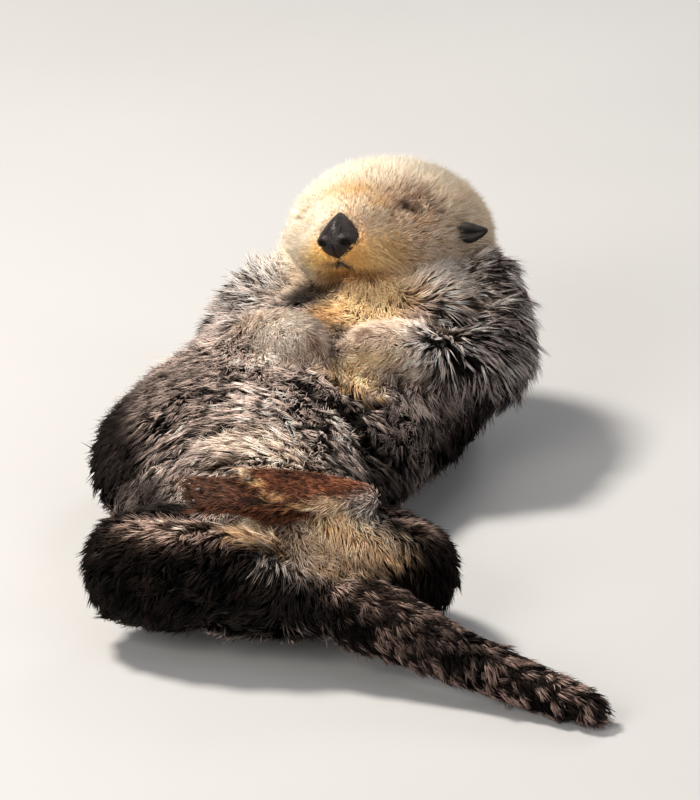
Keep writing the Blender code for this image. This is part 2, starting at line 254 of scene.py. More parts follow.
# how each eye faces: the way out of the head there, and the ways to its left and up over the lids
EYEBALL = 0.013             # how far round the lids the eyeball domes the head
outside_normal = spread(normals_of(outside, corners), edges, 4)
eye_ways = {}
for side in "LR":
    lid_out = unit(outside_normal[np.linalg.norm(outside - lid_mid[side], axis=1) < EYEBALL].mean(0))
    lid_left = unit(face_left - (face_left @ lid_out) * lid_out)
    eye_ways[side] = (lid_out, lid_left, np.cross(lid_out, lid_left))

# the cleft under the nose and the two short lips, to the left and up from the nose's middle, and the slit of
# each closed eye and the wrinkles beside the left one, to the left and up from the middle of the lids
CLEFT = ((0.0, -0.018), (0.0005, -0.0270))
LIPS = (((0.0, -0.0262), (-0.0020, -0.0285), (-0.0070, -0.0288)),
        ((0.0, -0.0262), (0.0045, -0.0300), (0.0095, -0.0314)))
TIGHTER = {"L": 0.0, "R": 0.0020}       # how much more the fur closes over each eye
SLIT_BOW = ((-0.0105, 0.0010), (-0.004, -0.0010), (0.004, -0.0012), (0.0105, 0.0006))
WRINKLES = (((0.008, 0.020), (0.022, 0.012)), ((-0.001, 0.015), (0.016, 0.009)),
            ((0.011, 0.011), (0.031, 0.007)), ((-0.014, 0.016), (-0.007, 0.026)),
            ((0.002, 0.027), (0.016, 0.022)), ((0.018, 0.003), (0.029, -0.002)))
# how far from its line each crease is whole, and where it ends
CREASE, LIP_CREASE = (0.0008, 0.0030), (0.0010, 0.0034)
FOLD_CREASE, SLIT_CREASE = (0.002, 0.016), (0.0012, 0.0050)
FACE_BACK = -0.075          # how far behind the nose's middle the face ends
AROUND_EYE, BEHIND_EYE = 0.060, -0.030      # how far the eye's own creases reach, round it and into the head
# the middle and two reaches of each swelling: the socket and the brow, outward and up from the lids' middle,
# and then the whiskers' pad and the chin, to the left and up from the nose's middle
SOCKET = (-0.003, 0.001, 0.018, 0.010)
BROW = (-0.002, 0.018, 0.022, 0.008)
WHISKER_PAD = (0.020, -0.019, 0.015, 0.012)
CHIN = (0.003, -0.0375, 0.022, 0.006)
facing = face_at[:, 2] > FACE_BACK
cleft_gap = np.where(facing, 1 - ease(*CREASE, from_line(face_at[:, :2], CLEFT)), 0)
lip_far = np.minimum(*(from_line(face_at[:, :2], lip) for lip in LIPS))
lip_gap = np.where(facing, 1 - ease(*LIP_CREASE, lip_far), 0)
slit_far = np.full(len(outside), 1.0)
wrinkle_gap, socket, brow = (np.zeros(len(outside)) for _ in range(3))
for side in "LR":
    lid_out, lid_left, lid_up = eye_ways[side]
    apart = outside - lid_mid[side]
    over_lid = np.stack([apart @ lid_left, apart @ lid_up], 1)
    by_eye = (np.linalg.norm(apart, axis=1) < AROUND_EYE) & (apart @ lid_out > BEHIND_EYE)
    slit_far = np.where(by_eye, from_line(over_lid, SLIT_BOW) + TIGHTER[side], slit_far)
    outward = 1 if side == "L" else -1
    x, y = over_lid[:, 0] * outward, over_lid[:, 1]
    socket += by_eye * hump(x, y, SOCKET)
    brow += by_eye * hump(x, y, BROW)
    if side == "L":
        for wrinkle in WRINKLES:
            gap = np.where(by_eye, 1 - ease(*CREASE, from_line(over_lid, wrinkle)), 0)
            wrinkle_gap = np.maximum(wrinkle_gap, gap)
left, up, out = face_at.T
pads = sum(hump(left * side, up, WHISKER_PAD) for side in (1, -1)) * facing
chin = hump(left, up, CHIN) * facing

# folds of the belly, where its roll of fat meets the middle, and the hollow of the flank
FOLDS = (((0.030, 0.060, 0.13), (0.056, 0.055, 0.13), (0.085, 0.062, 0.13)),
         ((0.030, 0.020, 0.13), (0.061, 0.006, 0.11), (0.100, 0.012, 0.11)),
         ((-0.060, -0.075, 0.145), (-0.070, -0.090, 0.145)),
         ((0.0, 0.030, 0.145), (0.020, 0.018, 0.140), (0.045, 0.026, 0.13)))
FOLD_TALL = (1, 1, 0.3)     # a fold runs up and down the skin further than across
fold_far = np.full(len(outside), 9.0)
for fold in FOLDS:
    fold_far = np.minimum(fold_far, from_line(outside * FOLD_TALL, np.array(fold) * FOLD_TALL))
fold_gap = 1 - ease(*FOLD_CREASE, fold_far)

# the coat is shorter round the nose and the eyes, with a longer fringe on the chin
NOSE_FUR, LID_FUR, CHIN_FRINGE = 0.36, 0.72, 0.45
from_nose = np.linalg.norm(outside - nose_mid, axis=1)
off_muzzle = ease(0.030, 0.090, from_nose)
off_muzzle = np.maximum(off_muzzle, np.where(facing, CHIN_FRINGE * ease(-0.029, -0.036, up), 0))
off_lid = ease(0.004, 0.022, slit_far)
short_face = (NOSE_FUR + (1 - NOSE_FUR) * off_muzzle) * (LID_FUR + (1 - LID_FUR) * off_lid)
short_face = np.where(on_head, short_face, 1)
depth = by_kind(DEPTH) * short_face
chin_crease = hump(above_chin / 0.007, 0) * ease(-0.135, -0.100, out)
chin_crease *= (kind_share[:, HEAD] + kind_share[:, THROAT]) > 0.5

# how deep the creases lie, and how far the brow, pads and chin swell out again
CLEFT_DEEP, LIP_DEEP, WRINKLE_DEEP, FOLD_DEEP, CHIN_DEEP = 0.0024, 0.0034, 0.0010, 0.0055, 0.0040
SOCKET_DEEP, BROW_HIGH, PAD_HIGH, CHIN_HIGH = 0.0008, 0.0016, 0.0036, 0.0020
skin = outside - unit(outside_normal) * depth[:, None]
skin = np.where(thin[:, None], skin, spread(skin, edges, 3))
sink = CLEFT_DEEP * cleft_gap + LIP_DEEP * lip_gap + WRINKLE_DEEP * wrinkle_gap
sink += FOLD_DEEP * fold_gap
sink += CHIN_DEEP * chin_crease
sink += SOCKET_DEEP * socket - BROW_HIGH * brow - PAD_HIGH * pads - CHIN_HIGH * chin
skin -= unit(outside_normal) * sink[:, None]
skin_mesh.vertices.foreach_set("co", skin.astype(np.float32).ravel())
skin_mesh.polygons.foreach_set("use_smooth", np.ones(len(skin_mesh.polygons), bool))
skin_normal = normals_of(skin, corners)


def wander(points, size, seed):
    """Smooth noise from -1 to 1 at each point, with features of that size."""
    offset = Vector((seed * 7.3, seed * 3.1, seed * 5.7))
    return np.array([noise.noise(Vector(p) / size + offset) for p in points])


# The markings, which skin and coat share: the colour of the fur's foot and tip for each kind of part, then
# soft patches over them. A patch has a middle and three reaches in millimetres, the two colours and its
# strength.
PLAIN = {
    "head": ((0.42, 0.23, 0.12), (1.0, 0.81, 0.62)),
    "neck": ((0.008, 0.0055, 0.005), (1.0, 0.82, 0.74)),
    "trunk": ((0.003, 0.0022, 0.002), (0.82, 0.66, 0.60)),
    "tail": ((0.0006, 0.0004, 0.0004), (0.62, 0.43, 0.37)),
    "foreleg": ((0.002, 0.0016, 0.0016), (1.0, 0.84, 0.80)),
    "forepaw": ((0.24, 0.165, 0.115), (0.80, 0.64, 0.53)),
    "hind_leg": ((0.0006, 0.0004, 0.0004), (0.022, 0.014, 0.012)),
    "hind_foot": ((0.024, 0.008, 0.005), (0.22, 0.080, 0.040)),
    "throat": ((0.42, 0.28, 0.16), (1.0, 0.78, 0.55)),
}
GOLD = ((0.80, 0.42, 0.12), (1.0, 0.68, 0.27))
TAN = ((0.36, 0.18, 0.070), (0.92, 0.60, 0.32))
DEEP_GOLD = ((0.20, 0.085, 0.022), (0.62, 0.35, 0.12))
PALE = ((0.72, 0.50, 0.30), (1.0, 0.93, 0.78))
STRAW = ((0.66, 0.43, 0.22), (1.0, 0.76, 0.47))
BROWN = ((0.12, 0.062, 0.040), (0.34, 0.19, 0.13))
# the dark of the lash line at each eye's slit, also used as painted shade in the wrinkles beside the left eye
LASH_AND_CREASE_SHADE = ((0.022, 0.012, 0.009), (0.10, 0.052, 0.038))
BLACK = ((0.003, 0.0025, 0.0025), (0.016, 0.012, 0.011))
EARTH = ((0.0012, 0.0009, 0.0009), (0.022, 0.015, 0.013))
RUST = ((0.030, 0.012, 0.008), (0.30, 0.135, 0.075))
RUFF = ((0.010, 0.006, 0.005), (1.0, 0.80, 0.71))
PAW = ((0.42, 0.31, 0.23), (1.0, 0.88, 0.77))
ARM = ((0.002, 0.0018, 0.0018), (0.92, 0.80, 0.77))
DUSK = ((0.002, 0.0015, 0.0015), (0.34, 0.26, 0.23))
DARK_FOOT = ((0.008, 0.004, 0.003), (0.12, 0.060, 0.040))
PINK = ((0.030, 0.018, 0.014), (0.72, 0.52, 0.44))
SILVER = ((0.020, 0.016, 0.015), (1.0, 0.86, 0.78))
SAND = ((0.30, 0.205, 0.14), (1.0, 0.82, 0.66))
CREAM = ((0.62, 0.42, 0.25), (1.0, 0.77, 0.56))
# in the head's own frame: to the left, up and out from the nose's middle
FACE_PATCHES = (
    ((-50, 10, -50), (55, 65, 80), PALE, 0.9),
    ((0, 85, -80), (90, 40, 70), PALE, 0.9),
    ((-4, 46, -45), (34, 17, 35), TAN, 0.85),
    ((2, -22, -10), (44, 24, 35), GOLD, 1.0),
    ((40, -14, -28), (26, 24, 30), GOLD, 0.7),
    ((6, -38, -20), (42, 6.5, 35), DEEP_GOLD, 0.9),
    # painted shadow along the lower edge of the chin, over the brown of its fur
    ((6, -41.5, -22), (40, 5, 35), BROWN, 0.5),
    ((22, -6, -12), (10, 16, 20), TAN, 0.5),
    ((50, 0, -60), (30, 30, 40), DEEP_GOLD, 0.18),
    # painted shade at the inner corner of the left eye, in the gold of the fur there
    ((28, 34, -45), (18, 12, 30), GOLD, 0.65),
    ((6, 46, -45), (16, 8, 30), GOLD, 0.9),
    ((10, 49, -50), (16, 6, 30), TAN, 0.5),
    # painted shade at the inner corner of the left eye, in the tan of the fur there
    ((30, 36, -44), (12, 11, 30), TAN, 0.7),
    ((52, 50, -50), (26, 14, 30), BROWN, 0.28),
    ((44, 34, -45), (11, 10, 30), BROWN, 0.55),
    ((66, 30, -55), (14, 7, 30), BROWN, 0.25),
    ((57, 42, -65), (11, 9, 30), BROWN, 0.55),
    ((62, 36, -62), (10, 7, 30), BROWN, 0.5),
    ((-4, -28.5, 0), (18, 3.5, 40), BROWN, 0.7),
    ((88, -6, -110), (14, 16, 30), BLACK, 0.9),
)
# in the otter's own frame: x, y and z
BODY_PATCHES = (
    # the throat, ruff and chest
    ((30, 175, 172), (46, 50, 40), STRAW, 1.0),
    ((60, 188, 178), (26, 20, 30), STRAW, 0.8),
    ((110, 215, 190), (40, 36, 30), RUFF, 0.9),
    ((0, 155, 170), (18, 26, 30), DEEP_GOLD, 0.7),
    # partly the dark fur and partly painted shadow in the hollow between the bib and the right forepaw
    ((-23, 197, 174), (32, 36, 40), BLACK, 0.97),
    ((22, 128, 164), (13, 18, 20), BLACK, 0.8),
    ((125, 235, 190), (45, 40, 50), SILVER, 0.8),
    ((-70, 260, 170), (40, 60, 40), SILVER, 0.5),
    # the left forearm beyond the paw, and the pads of the paws
    ((118, 118, 160), (34, 40, 40), ARM, 1.0),
    ((-32, 80, 175), (36, 30, 30), PAW, 0.8),
    ((45, 100, 176), (10, 8, 12), BROWN, 0.9),
    ((3, 72, 170), (7, 7, 10), BROWN, 0.9),
    # the belly and flanks
    ((50, 80, 144), (52, 20, 20), STRAW, 0.85),
    ((-195, 10, 76), (54, 135, 74), EARTH, 1.0),
    ((-160, -45, 90), (36, 70, 42), EARTH, 1.0),
    ((-128, -135, 86), (50, 50, 24), EARTH, 0.9),
    ((-165, 70, 110), (26, 60, 30), EARTH, 0.5),
    ((-120, 0, 140), (60, 110, 40), DUSK, 0.75),
    ((155, 110, 50), (60, 150, 56), EARTH, 1.0),
    ((95, -20, 70), (50, 100, 50), BLACK, 0.9),
    ((10, -120, 150), (90, 60, 30), SAND, 0.45),
    # the rump, the legs and the root of the tail
    ((-70, -278, 132), (100, 34, 20), PINK, 0.95),
    ((10, -262, 138), (40, 34, 30), CREAM, 0.8),
    ((90, -262, 142), (36, 34, 24), SILVER, 0.9),
    ((62, -258, 138), (16, 20, 16), GOLD, 0.45),
    ((78, -262, 146), (28, 18, 20), CREAM, 0.9),
    ((98, -238, 158), (26, 20, 12), RUST, 0.85),
    ((84, -266, 114), (60, 34, 18), CREAM, 1.0),
    ((22, -262, 130), (10, 18, 10), DUSK, 0.9),
    ((54, -254, 138), (6, 18, 12), BROWN, 0.8),
    ((72, -262, 128), (34, 24, 6), GOLD, 0.35),
    ((100, -250, 141), (18, 20, 8), SILVER, 0.8),
    ((124, -240, 126), (26, 30, 12), EARTH, 0.8),
    ((150, -190, 116), (40, 50, 16), PINK, 0.9),
    ((30, -318, 64), (100, 36, 40), EARTH, 1.0),
    ((22, -300, 102), (26, 24, 14), SILVER, 0.8),
    ((105, -305, 90), (40, 22, 20), PINK, 0.75),
    ((185, -345, 52), (50, 30, 24), EARTH, 0.75),
    ((-20, 0, -10), (300, 500, 50), EARTH, 0.9),
)
FOOT_PATCHES = (
    ((-46, -262, 157), (36, 30, 22), DARK_FOOT, 0.9),
    ((-15, -252, 172), (7, 16, 5), CREAM, 0.85),
    ((-4, -260, 166), (10, 14, 3.5), TAN, 0.7),
    ((16, -267, 158), (13, 12, 4), TAN, 0.6),
    ((38, -267, 149), (15, 12, 5), TAN, 0.7),
    # painted shadow under the left foot's edge where it lies over the right foot, with the right foot's dark
    # fur
    ((0, -272, 154), (18, 12, 5), BLACK, 0.85),
    ((26, -270, 144), (20, 12, 6), BLACK, 0.6),
    # a thin line of painted shade in a gap between the toes
    ((46, -236, 172), (40, 6, 6), BLACK, 0.45),
    ((62, -263, 147), (22, 10, 12), CREAM, 0.7),
    ((100, -250, 146), (28, 34, 14), SILVER, 0.6),
    ((45, -240, 172), (45, 16, 6), EARTH, 0.35),
)
# where the cheek's fur is streaked with brown
STREAKED = ((60, 4, -60), (42, 46, 60))
# where less of each wet lock's edge is painted with the gap shade, so that its ridges show paler
RIDGED = (((110, 215, 190), (50, 40, 40)), ((-75, 250, 165), (30, 40, 30)))
# where the fur is soft and dry, and where it is drenched: a middle and three reaches
DRY_SPOTS = (((30, 176, 172), (56, 52, 40)), ((60, -264, 124), (70, 34, 26)))
WET_SPOTS = (((122, 118, 160), (34, 40, 40)), ((155, 180, 150), (60, 80, 80)),
             ((-120, -50, 130), (50, 60, 50)), ((90, 30, 120), (40, 50, 50)))


def in_patch(points, patch):
    """1 in a patch of the coat, fading to 0 round it."""
    centre, reach = (np.array(millimetres) / 1000 for millimetres in patch[:2])
    apart = (points - centre) / reach
    return 1 - ease(0.45, 1.35, np.linalg.norm(apart, axis=1))


def towards(tints, colours, share):
    """The tints of foot and tip, each taken towards one of two colours by a share of the way."""
    share = share[:, None]
    return [tint + (np.array(colour) - tint) * share for tint, colour in zip(tints, colours)]


both_tints = [kind_share @ np.array([PLAIN[kind][end] for kind in KINDS]) for end in (0, 1)]
on_ball = kind_share[:, HEAD] > 0.4
on_foot = kind_share[:, FOOT] > 0.5
for patches, places, where in ((FACE_PATCHES, face_at, on_ball), (BODY_PATCHES, outside, ~on_ball & ~on_foot),
                               (FOOT_PATCHES, outside, on_foot)):
    for patch in patches:
        both_tints = towards(both_tints, patch[2], in_patch(places, patch) * patch[3] * where)
# the lips and the slit of each eye are painted their own dark colours, while the belly's folds, the wrinkles
# beside the left eye and the cleft under the nose are painted darker along their creases as painted shade
for gap, colours, strength in ((wrinkle_gap, LASH_AND_CREASE_SHADE, 0.75), (fold_gap, BLACK, 0.9), (lip_gap, BLACK, 1.0),
                               (cleft_gap, BROWN, 0.9), (1 - ease(*SLIT_CREASE, slit_far), LASH_AND_CREASE_SHADE, 0.95)):
    both_tints = towards(both_tints, colours, gap * strength)
foot_tint, tip_tint = both_tints


class Wire:
    """A socket in a material. Arithmetic on it adds the nodes that work it out."""

    def __init__(self, tree, socket):
        self.tree, self.socket = tree, socket

    def node(self, kind, settings=None, output=0, **values):
        """A new node: its settings are set first, then its inputs, by name or as in0, in1 and so on."""
        made = self.tree.nodes.new("ShaderNode" + kind)
        for key, value in (settings or {}).items():
            setattr(made, key, value)
        for key, value in values.items():
            if key.startswith("in") and key[2:].isdigit():
                target = made.inputs[int(key[2:])]
            else:
                target = made.inputs[key.replace("_", " ")]
            if isinstance(value, Wire):
                self.tree.links.new(value.socket, target)
            else:
                target.default_value = value
        return Wire(self.tree, made.outputs[output])

    def maths(self, operation, first, second=0.0):
        """A Math node on numbers, and a Vector Math node where a colour or a vector comes in."""
        flow = [w for w in (first, second) if isinstance(w, Wire)]
        if all(w.socket.type == "VALUE" for w in flow):
            return self.node("Math", {"operation": operation}, in0=first, in1=second)
        first, second = ((w,) * 3 if isinstance(w, (int, float)) else w for w in (first, second))
        return self.node("VectorMath", {"operation": operation}, in0=first, in1=second)

    def __add__(self, other):
        return self.maths("ADD", self, other)

    def __radd__(self, other):
        return self.maths("ADD", other, self)

    def __sub__(self, other):
        return self.maths("SUBTRACT", self, other)

    def __rsub__(self, other):
        return self.maths("SUBTRACT", other, self)

    def __mul__(self, other):
        return self.maths("MULTIPLY", self, other)

    def __rmul__(self, other):
        return self.maths("MULTIPLY", other, self)

    def __pow__(self, other):
        return self.maths("POWER", self, other)

    def mix(self, first, second):
        """The colour first where this is 0 and second where it is 1."""
        return self.node("Mix", {"data_type": "RGBA"}, output=2, in0=self, in6=first, in7=second)

    def step(self, low, high):
        """This value's range from low to high, drawn out to 0 to 1."""
        smooth = {"interpolation_type": "SMOOTHSTEP"}
        return self.node("MapRange", smooth, From_Min=low, From_Max=high, Value=self)


def finish_of(name, **plain):
    """A new material with a Principled shader, its plain values set, and a Wire to build on."""
    material = bpy.data.materials.new(name)
    material.use_nodes = True
    shader = material.node_tree.nodes["Principled BSDF"]
    for key, value in plain.items():
        shader.inputs[key.replace("_", " ")].default_value = value
    return material, Wire(material.node_tree, None), shader


def feed(wire, shader, socket):
    """Joins a Wire to one of the shader's own sockets."""
    wire.tree.links.new(wire.socket, shader.inputs[socket])


def keep(mesh, name, kind, values):
    """Stores values for each vertex under a name that materials read."""
    layer = mesh.attributes.new(name, kind, "POINT")
    if kind == "FLOAT_COLOR":
        values = np.hstack([values, np.ones((len(values), 1))])
        layer.data.foreach_set("color", values.astype(np.float32).ravel())
    else:
        layer.data.foreach_set("value", np.asarray(values, np.float32))


def coat_finish(name, roughness, fade, grain, along_skin=None, gloss=0.35):
    """Fur: the colour of its foot turns into that of its tip, with fine and broad streaks of both.

    Fade is above 1 where the foot's colour reaches far up, and below 1 where the tip's reaches down.
    """
    material, wire, shader = finish_of(name, IOR=1.45, Specular_IOR_Level=gloss)
    foot = wire.node("Attribute", {"attribute_name": "foot_tint"})
    tip = wire.node("Attribute", {"attribute_name": "tip_tint"})
    place = wire.node("TexCoord", output=3)
    fine = wire.node("TexNoise", Vector=place, Scale=420.0, Detail=2.0)
    broad = wire.node("TexNoise", Vector=place, Scale=38.0, Detail=3.0)
    if along_skin is None:
        along = wire.node("Attribute", {"attribute_name": "along"}, output=2)
    else:
        along = fine.step(0.35, 0.75) * along_skin
    colour = (along ** fade).mix(foot, tip)
    colour = colour * (1 + grain * (fine - 0.5) + 0.5 * grain * (broad - 0.5))
    feed(colour, shader, "Base Color")
    feed(roughness + 0.15 * (broad - 0.5), shader, "Roughness")
    if along_skin is not None:
        height = wire.node("Bump", Height=fine, Strength=0.5, Distance=0.002)
        feed(height, shader, "Normal")
    return material


keep(skin_mesh, "foot_tint", "FLOAT_COLOR", foot_tint)
keep(skin_mesh, "tip_tint", "FLOAT_COLOR", tip_tint)
skin_mesh.materials.append(coat_finish("hide", 0.6, 1.0, 0.5, along_skin=0.5))


def add_piece(name, mesh, slot, *stands_for):
    """Puts a mesh into the scene as a piece of the otter, in place of the solids that it stands for."""
    piece = into_scene(name, mesh)
    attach(piece, "root")
    if stands_for:
        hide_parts(*stands_for)


add_piece("skin", skin_mesh, "body_fur", *FLESH)

# ---------------------------------------------------------------- the coat
# The otter's fur, in tufts that lie along the body and root in its skin: short and fluffy on the head and
# paws, long on the body, and wet on the arms, the tail and parts of the belly, where strands gather into
# pointed locks with dark gaps between them: the dark foot of the fur shows there, and the tips at each lock's
# edge are painted dark as painted shade. A tuft is a thin three-sided hair bundle with a closed foot.

# for each kind of flesh, the length and width of a tuft in metres, how far tufts gather into locks, how far
# the coat swirls, how much its tone varies from lock to lock and from one stretch to the next, how much of
# each lock's edge has its tips painted dark as painted shade, and how dark that painted shade in the gaps
# between locks is
COAT = {
    "head": (0.020, 0.00085, 0.34, 0.14, 0.24, 0.08, 0.0, 0.26),
    "neck": (0.045, 0.0015, 0.90, 0.15, 0.48, 0.40, 0.38, 0.97),
    "trunk": (0.030, 0.0016, 0.72, 1.0, 0.32, 0.90, 0.36, 0.92),
    "tail": (0.021, 0.0016, 0.90, 0.45, 0.36, 0.70, 0.60, 1.0),
    "foreleg": (0.038, 0.0015, 0.92, 0.40, 0.32, 0.50, 0.54, 1.0),
    "forepaw": (0.024, 0.0012, 0.38, 0.60, 0.28, 0.22, 0.22, 0.55),
    "hind_leg": (0.024, 0.0016, 0.80, 0.60, 0.40, 0.60, 0.45, 1.0),
    "hind_foot": (0.010, 0.0008, 0.35, 0.10, 0.50, 0.60, 0.20, 0.60),
    "throat": (0.024, 0.0012, 0.55, 0.35, 0.18, 0.15, 0.10, 0.45),
}
LENGTH, WIDTH, GATHER, SWIRL, CONTRAST, BLOTCH, SHADED_EDGE, GAP_SHADE = (
    {kind: row[column] for kind, row in COAT.items()} for column in range(8))
# the coat parts along a short line on the chest, and runs out from it on both sides
PARTING = (-0.022, 0.062)
CHEST_Y, CHEST_Z = 0.190, 0.175
BIB_TOP = (0.020, 0.300, 0.200)     # and under the chin it fans out from here, down the bib
BIB = (0.020, 0.075)        # how far to each side the bib is whole, and where it ends

tail_low, tail_high = (np.array(p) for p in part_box("tail"))
tail_way = unit((tail_high[0] - tail_low[0], -(tail_high[1] - tail_low[1]) * 0.75, -0.25))
side_of_body = np.sign(outside[:, :1] - 0.03)
down = np.array((0.0, 0.0, -1.0))
chest = np.column_stack([outside[:, 0].clip(*PARTING), np.full(len(outside), CHEST_Y),
                         np.full(len(outside), CHEST_Z)])
off_bib = ease(*BIB, np.abs(outside[:, :1] - BIB_TOP[0]))
out_from_chest = unit(unit(outside - chest) * off_bib + unit(outside - BIB_TOP) * (1 - off_bib))
far_down_arm = ease(0.04, 0.15, np.linalg.norm(outside - chest, axis=1))[:, None]
LIE = {
    "head": unit(outside - on_face(0, 0, -0.02)),
    "neck": out_from_chest,
    "trunk": unit(np.array((0.0, -1.0, -0.15)) + side_of_body * (0.45, 0, 0)),
    "tail": unit(np.tile(tail_way + 0.18 * down, (len(outside), 1))),
    "foreleg": unit(out_from_chest * (1 - 0.6 * far_down_arm) + (0.9 * down + (0, -0.3, 0)) * far_down_arm),
    "forepaw": unit(side_of_body * (-1.0, 0, 0) + (0, -0.6, -0.7)),
    "hind_leg": unit(side_of_body * (0.5, 0, 0) + (0, -0.5, -0.7)),
    "hind_foot": unit(np.tile((-1.0, -0.15, -0.25), (len(outside), 1))),
    "throat": out_from_chest,
}
lie = sum(kind_share[:, k:k + 1] * LIE[kind] for k, kind in enumerate(KINDS))
swirl = wander(outside, 0.055, 1) * 0.9 + wander(outside, 0.022, 2) * 0.5
swirl *= by_kind(SWIRL)


def laid_flat(vectors, normal):
    """Vectors turned into the plane of the skin."""
    return unit(vectors - (vectors * normal).sum(1, keepdims=True) * normal)


def turned(vectors, axis, angle):
    """Vectors turned about an axis they are square to."""
    angle = np.asarray(angle)[:, None]
    return vectors * np.cos(angle) + np.cross(axis, vectors) * np.sin(angle)


lie = laid_flat(spread(laid_flat(lie, skin_normal), edges, 10), skin_normal)
lie = turned(lie, skin_normal, swirl)
# the lower rim of each foot carries a fringe
FRINGE = 1.5                # how much longer it is
NOSE_FINE = 0.72            # how thin the hair is round the nose, against the crown's
foot_fringe = kind_share[:, FOOT] * ease(0.1, 0.7, skin_normal @ (-0.5, -0.7, -0.6))
tuft_length = by_kind(LENGTH) * short_face * (1 + FRINGE * foot_fringe)
tuft_width = by_kind(WIDTH) * np.where(on_head, NOSE_FINE + (1 - NOSE_FINE) * off_muzzle, 1)

# drenched fur gathers most and has the most painted gap shade, dry fur least, and in between some stretches
# are damper
drenched = sum(in_patch(outside, spot) for spot in WET_SPOTS).clip(0, 1)
dried = sum(in_patch(outside, spot) for spot in DRY_SPOTS).clip(0, 1) * (1 - drenched)
damp = ease(-0.35, 0.35, wander(outside, 0.06, 3) + 0.4 * wander(outside, 0.02, 4))
gather = by_kind(GATHER) * (1 - 0.6 * dried) * (0.5 + 0.5 * damp)
gather += (0.95 - gather) * drenched
streaked = in_patch(face_at, STREAKED) * on_ball
gap_shade = by_kind(GAP_SHADE) * (1 - 0.85 * dried) * (0.95 + 0.05 * damp)
gap_shade += (1 - gap_shade) * drenched
gap_shade += (0.9 - gap_shade) * 0.7 * streaked
contrast = by_kind(CONTRAST) * (1 - 0.5 * dried) * (1 + 1.3 * streaked)
shaded_edge = by_kind(SHADED_EDGE) * (1 - dried) + 0.34 * streaked + 0.12 * drenched
shaded_edge *= 1 - 0.4 * sum(in_patch(outside, spot) for spot in RIDGED).clip(0, 1)
tone = (1.3 * wander(outside, 0.035, 5) + 0.7 * wander(outside, 0.014, 6)) * by_kind(BLOTCH)
tone = np.where(tone > 0, 0.4 * tone, 0.8 * tone)

# no tuft grows on the lips or on the lids by the slit, and few in the cleft
DENSER = 0.8                # how much more closely small tufts stand than long ones
bare = np.maximum(np.maximum(lip_gap, 1 - ease(0.0010, 0.0026, slit_far)), 0.8 * cleft_gap)
thickness = (1 - bare) / (tuft_length * tuft_width) ** DENSER

face_a, face_b, face_c = (skin[corners[:, k]] for k in range(3))
face_area = np.linalg.norm(np.cross(face_b - face_a, face_c - face_a), axis=1) / 2
face_mid = (face_a + face_b + face_c) / 3
face_owner = np.array([FLESH[k] for k in owner_share.argmax(1)])[corners[:, 0]]
SHARE = 1.0
skin_finder = KDTree(len(skin))
for index, spot in enumerate(skin):
    skin_finder.insert(spot, index)
skin_finder.balance()


def build_mesh(name, points, loop_points, loop_counts):
    """A mesh from its points, the points of all its faces in turn, and each face's number of corners."""
    mesh = bpy.data.meshes.new(name)
    mesh.vertices.add(len(points))
    mesh.vertices.foreach_set("co", points.astype(np.float32).ravel())
    mesh.loops.add(len(loop_points))
    mesh.loops.foreach_set("vertex_index", loop_points.astype(np.int32))
    mesh.polygons.add(len(loop_counts))
    starts = np.concatenate([[0], np.cumsum(loop_counts)[:-1]])
    mesh.polygons.foreach_set("loop_start", starts.astype(np.int32))
    mesh.polygons.foreach_set("use_smooth", np.ones(len(loop_counts), bool))
    mesh.update(calc_edges=True)
    return mesh


def ring_faces(start, rings, around):
    """The faces between rings of points that follow each other, from their first point on."""
    return [(at + k, at + (k + 1) % around, at + around + (k + 1) % around, at + around + k)
            for at in range(start, start + (rings - 1) * around, around) for k in range(around)]


def tuft_pattern(rings):
    """The faces of one tuft: a closed foot, three sides through its rings, and the point."""
    last = (rings - 1) * 3
    point = [(last + k, last + (k + 1) % 3, rings * 3) for k in range(3)]
    return [(2, 1, 0)] + ring_faces(0, rings, 3) + point


def nearest_leader(points, rng, groups):
    """Splits points into groups round a few of them: which ones lead, and the group of each point."""
    leader = rng.choice(len(points), groups, replace=False)
    finder = KDTree(groups)
    for index, at in enumerate(leader):
        finder.insert(points[at], index)
    finder.balance()
    return leader, np.array([finder.find(p)[1] for p in points])


DROP = 0.0006               # how far a tuft's foot lies under the skin
FLOOR_GAP = 0.0006          # how high over the floor the lowest hair lies
LOCK_TURN, STRAND_TURN = 0.26, 0.14         # how far locks and strands stray from the coat's lie, in radians
LOCK_SWAY, TUFT_SWAY = 0.16, 0.10           # how far locks and tufts bend sideways, against their length
LOCK_LONG = 0.15            # how much longer or shorter than the next a lock is
CURL = 0.9                  # how much more steeply a tuft leaves the skin than it ends, in radians
# the stiffer hairs: how much steeper they stand and how steep at most, and how thick and wet against the rest
GUARD_RISE, GUARD_STEEPEST, GUARD_WIDTH, GUARD_WET = 1.9, 1.1, 0.6, 0.4
MOST_PULLED = 0.65          # how far a point is drawn in to its lock at most, as a share of the tuft's length
SEEN = 0.6                  # how far along a tuft the part of it lies that shows between the others
MAP_SPAN, MAP_PATCH = 0.99, 0.003           # how much of the map the unwrap fills, and a tuft's size on it
TUFT_HALF, TUFT_FLAT, TUFT_TAPER = 0.62, 0.8, 0.55          # half its width, its flatness and how it narrows


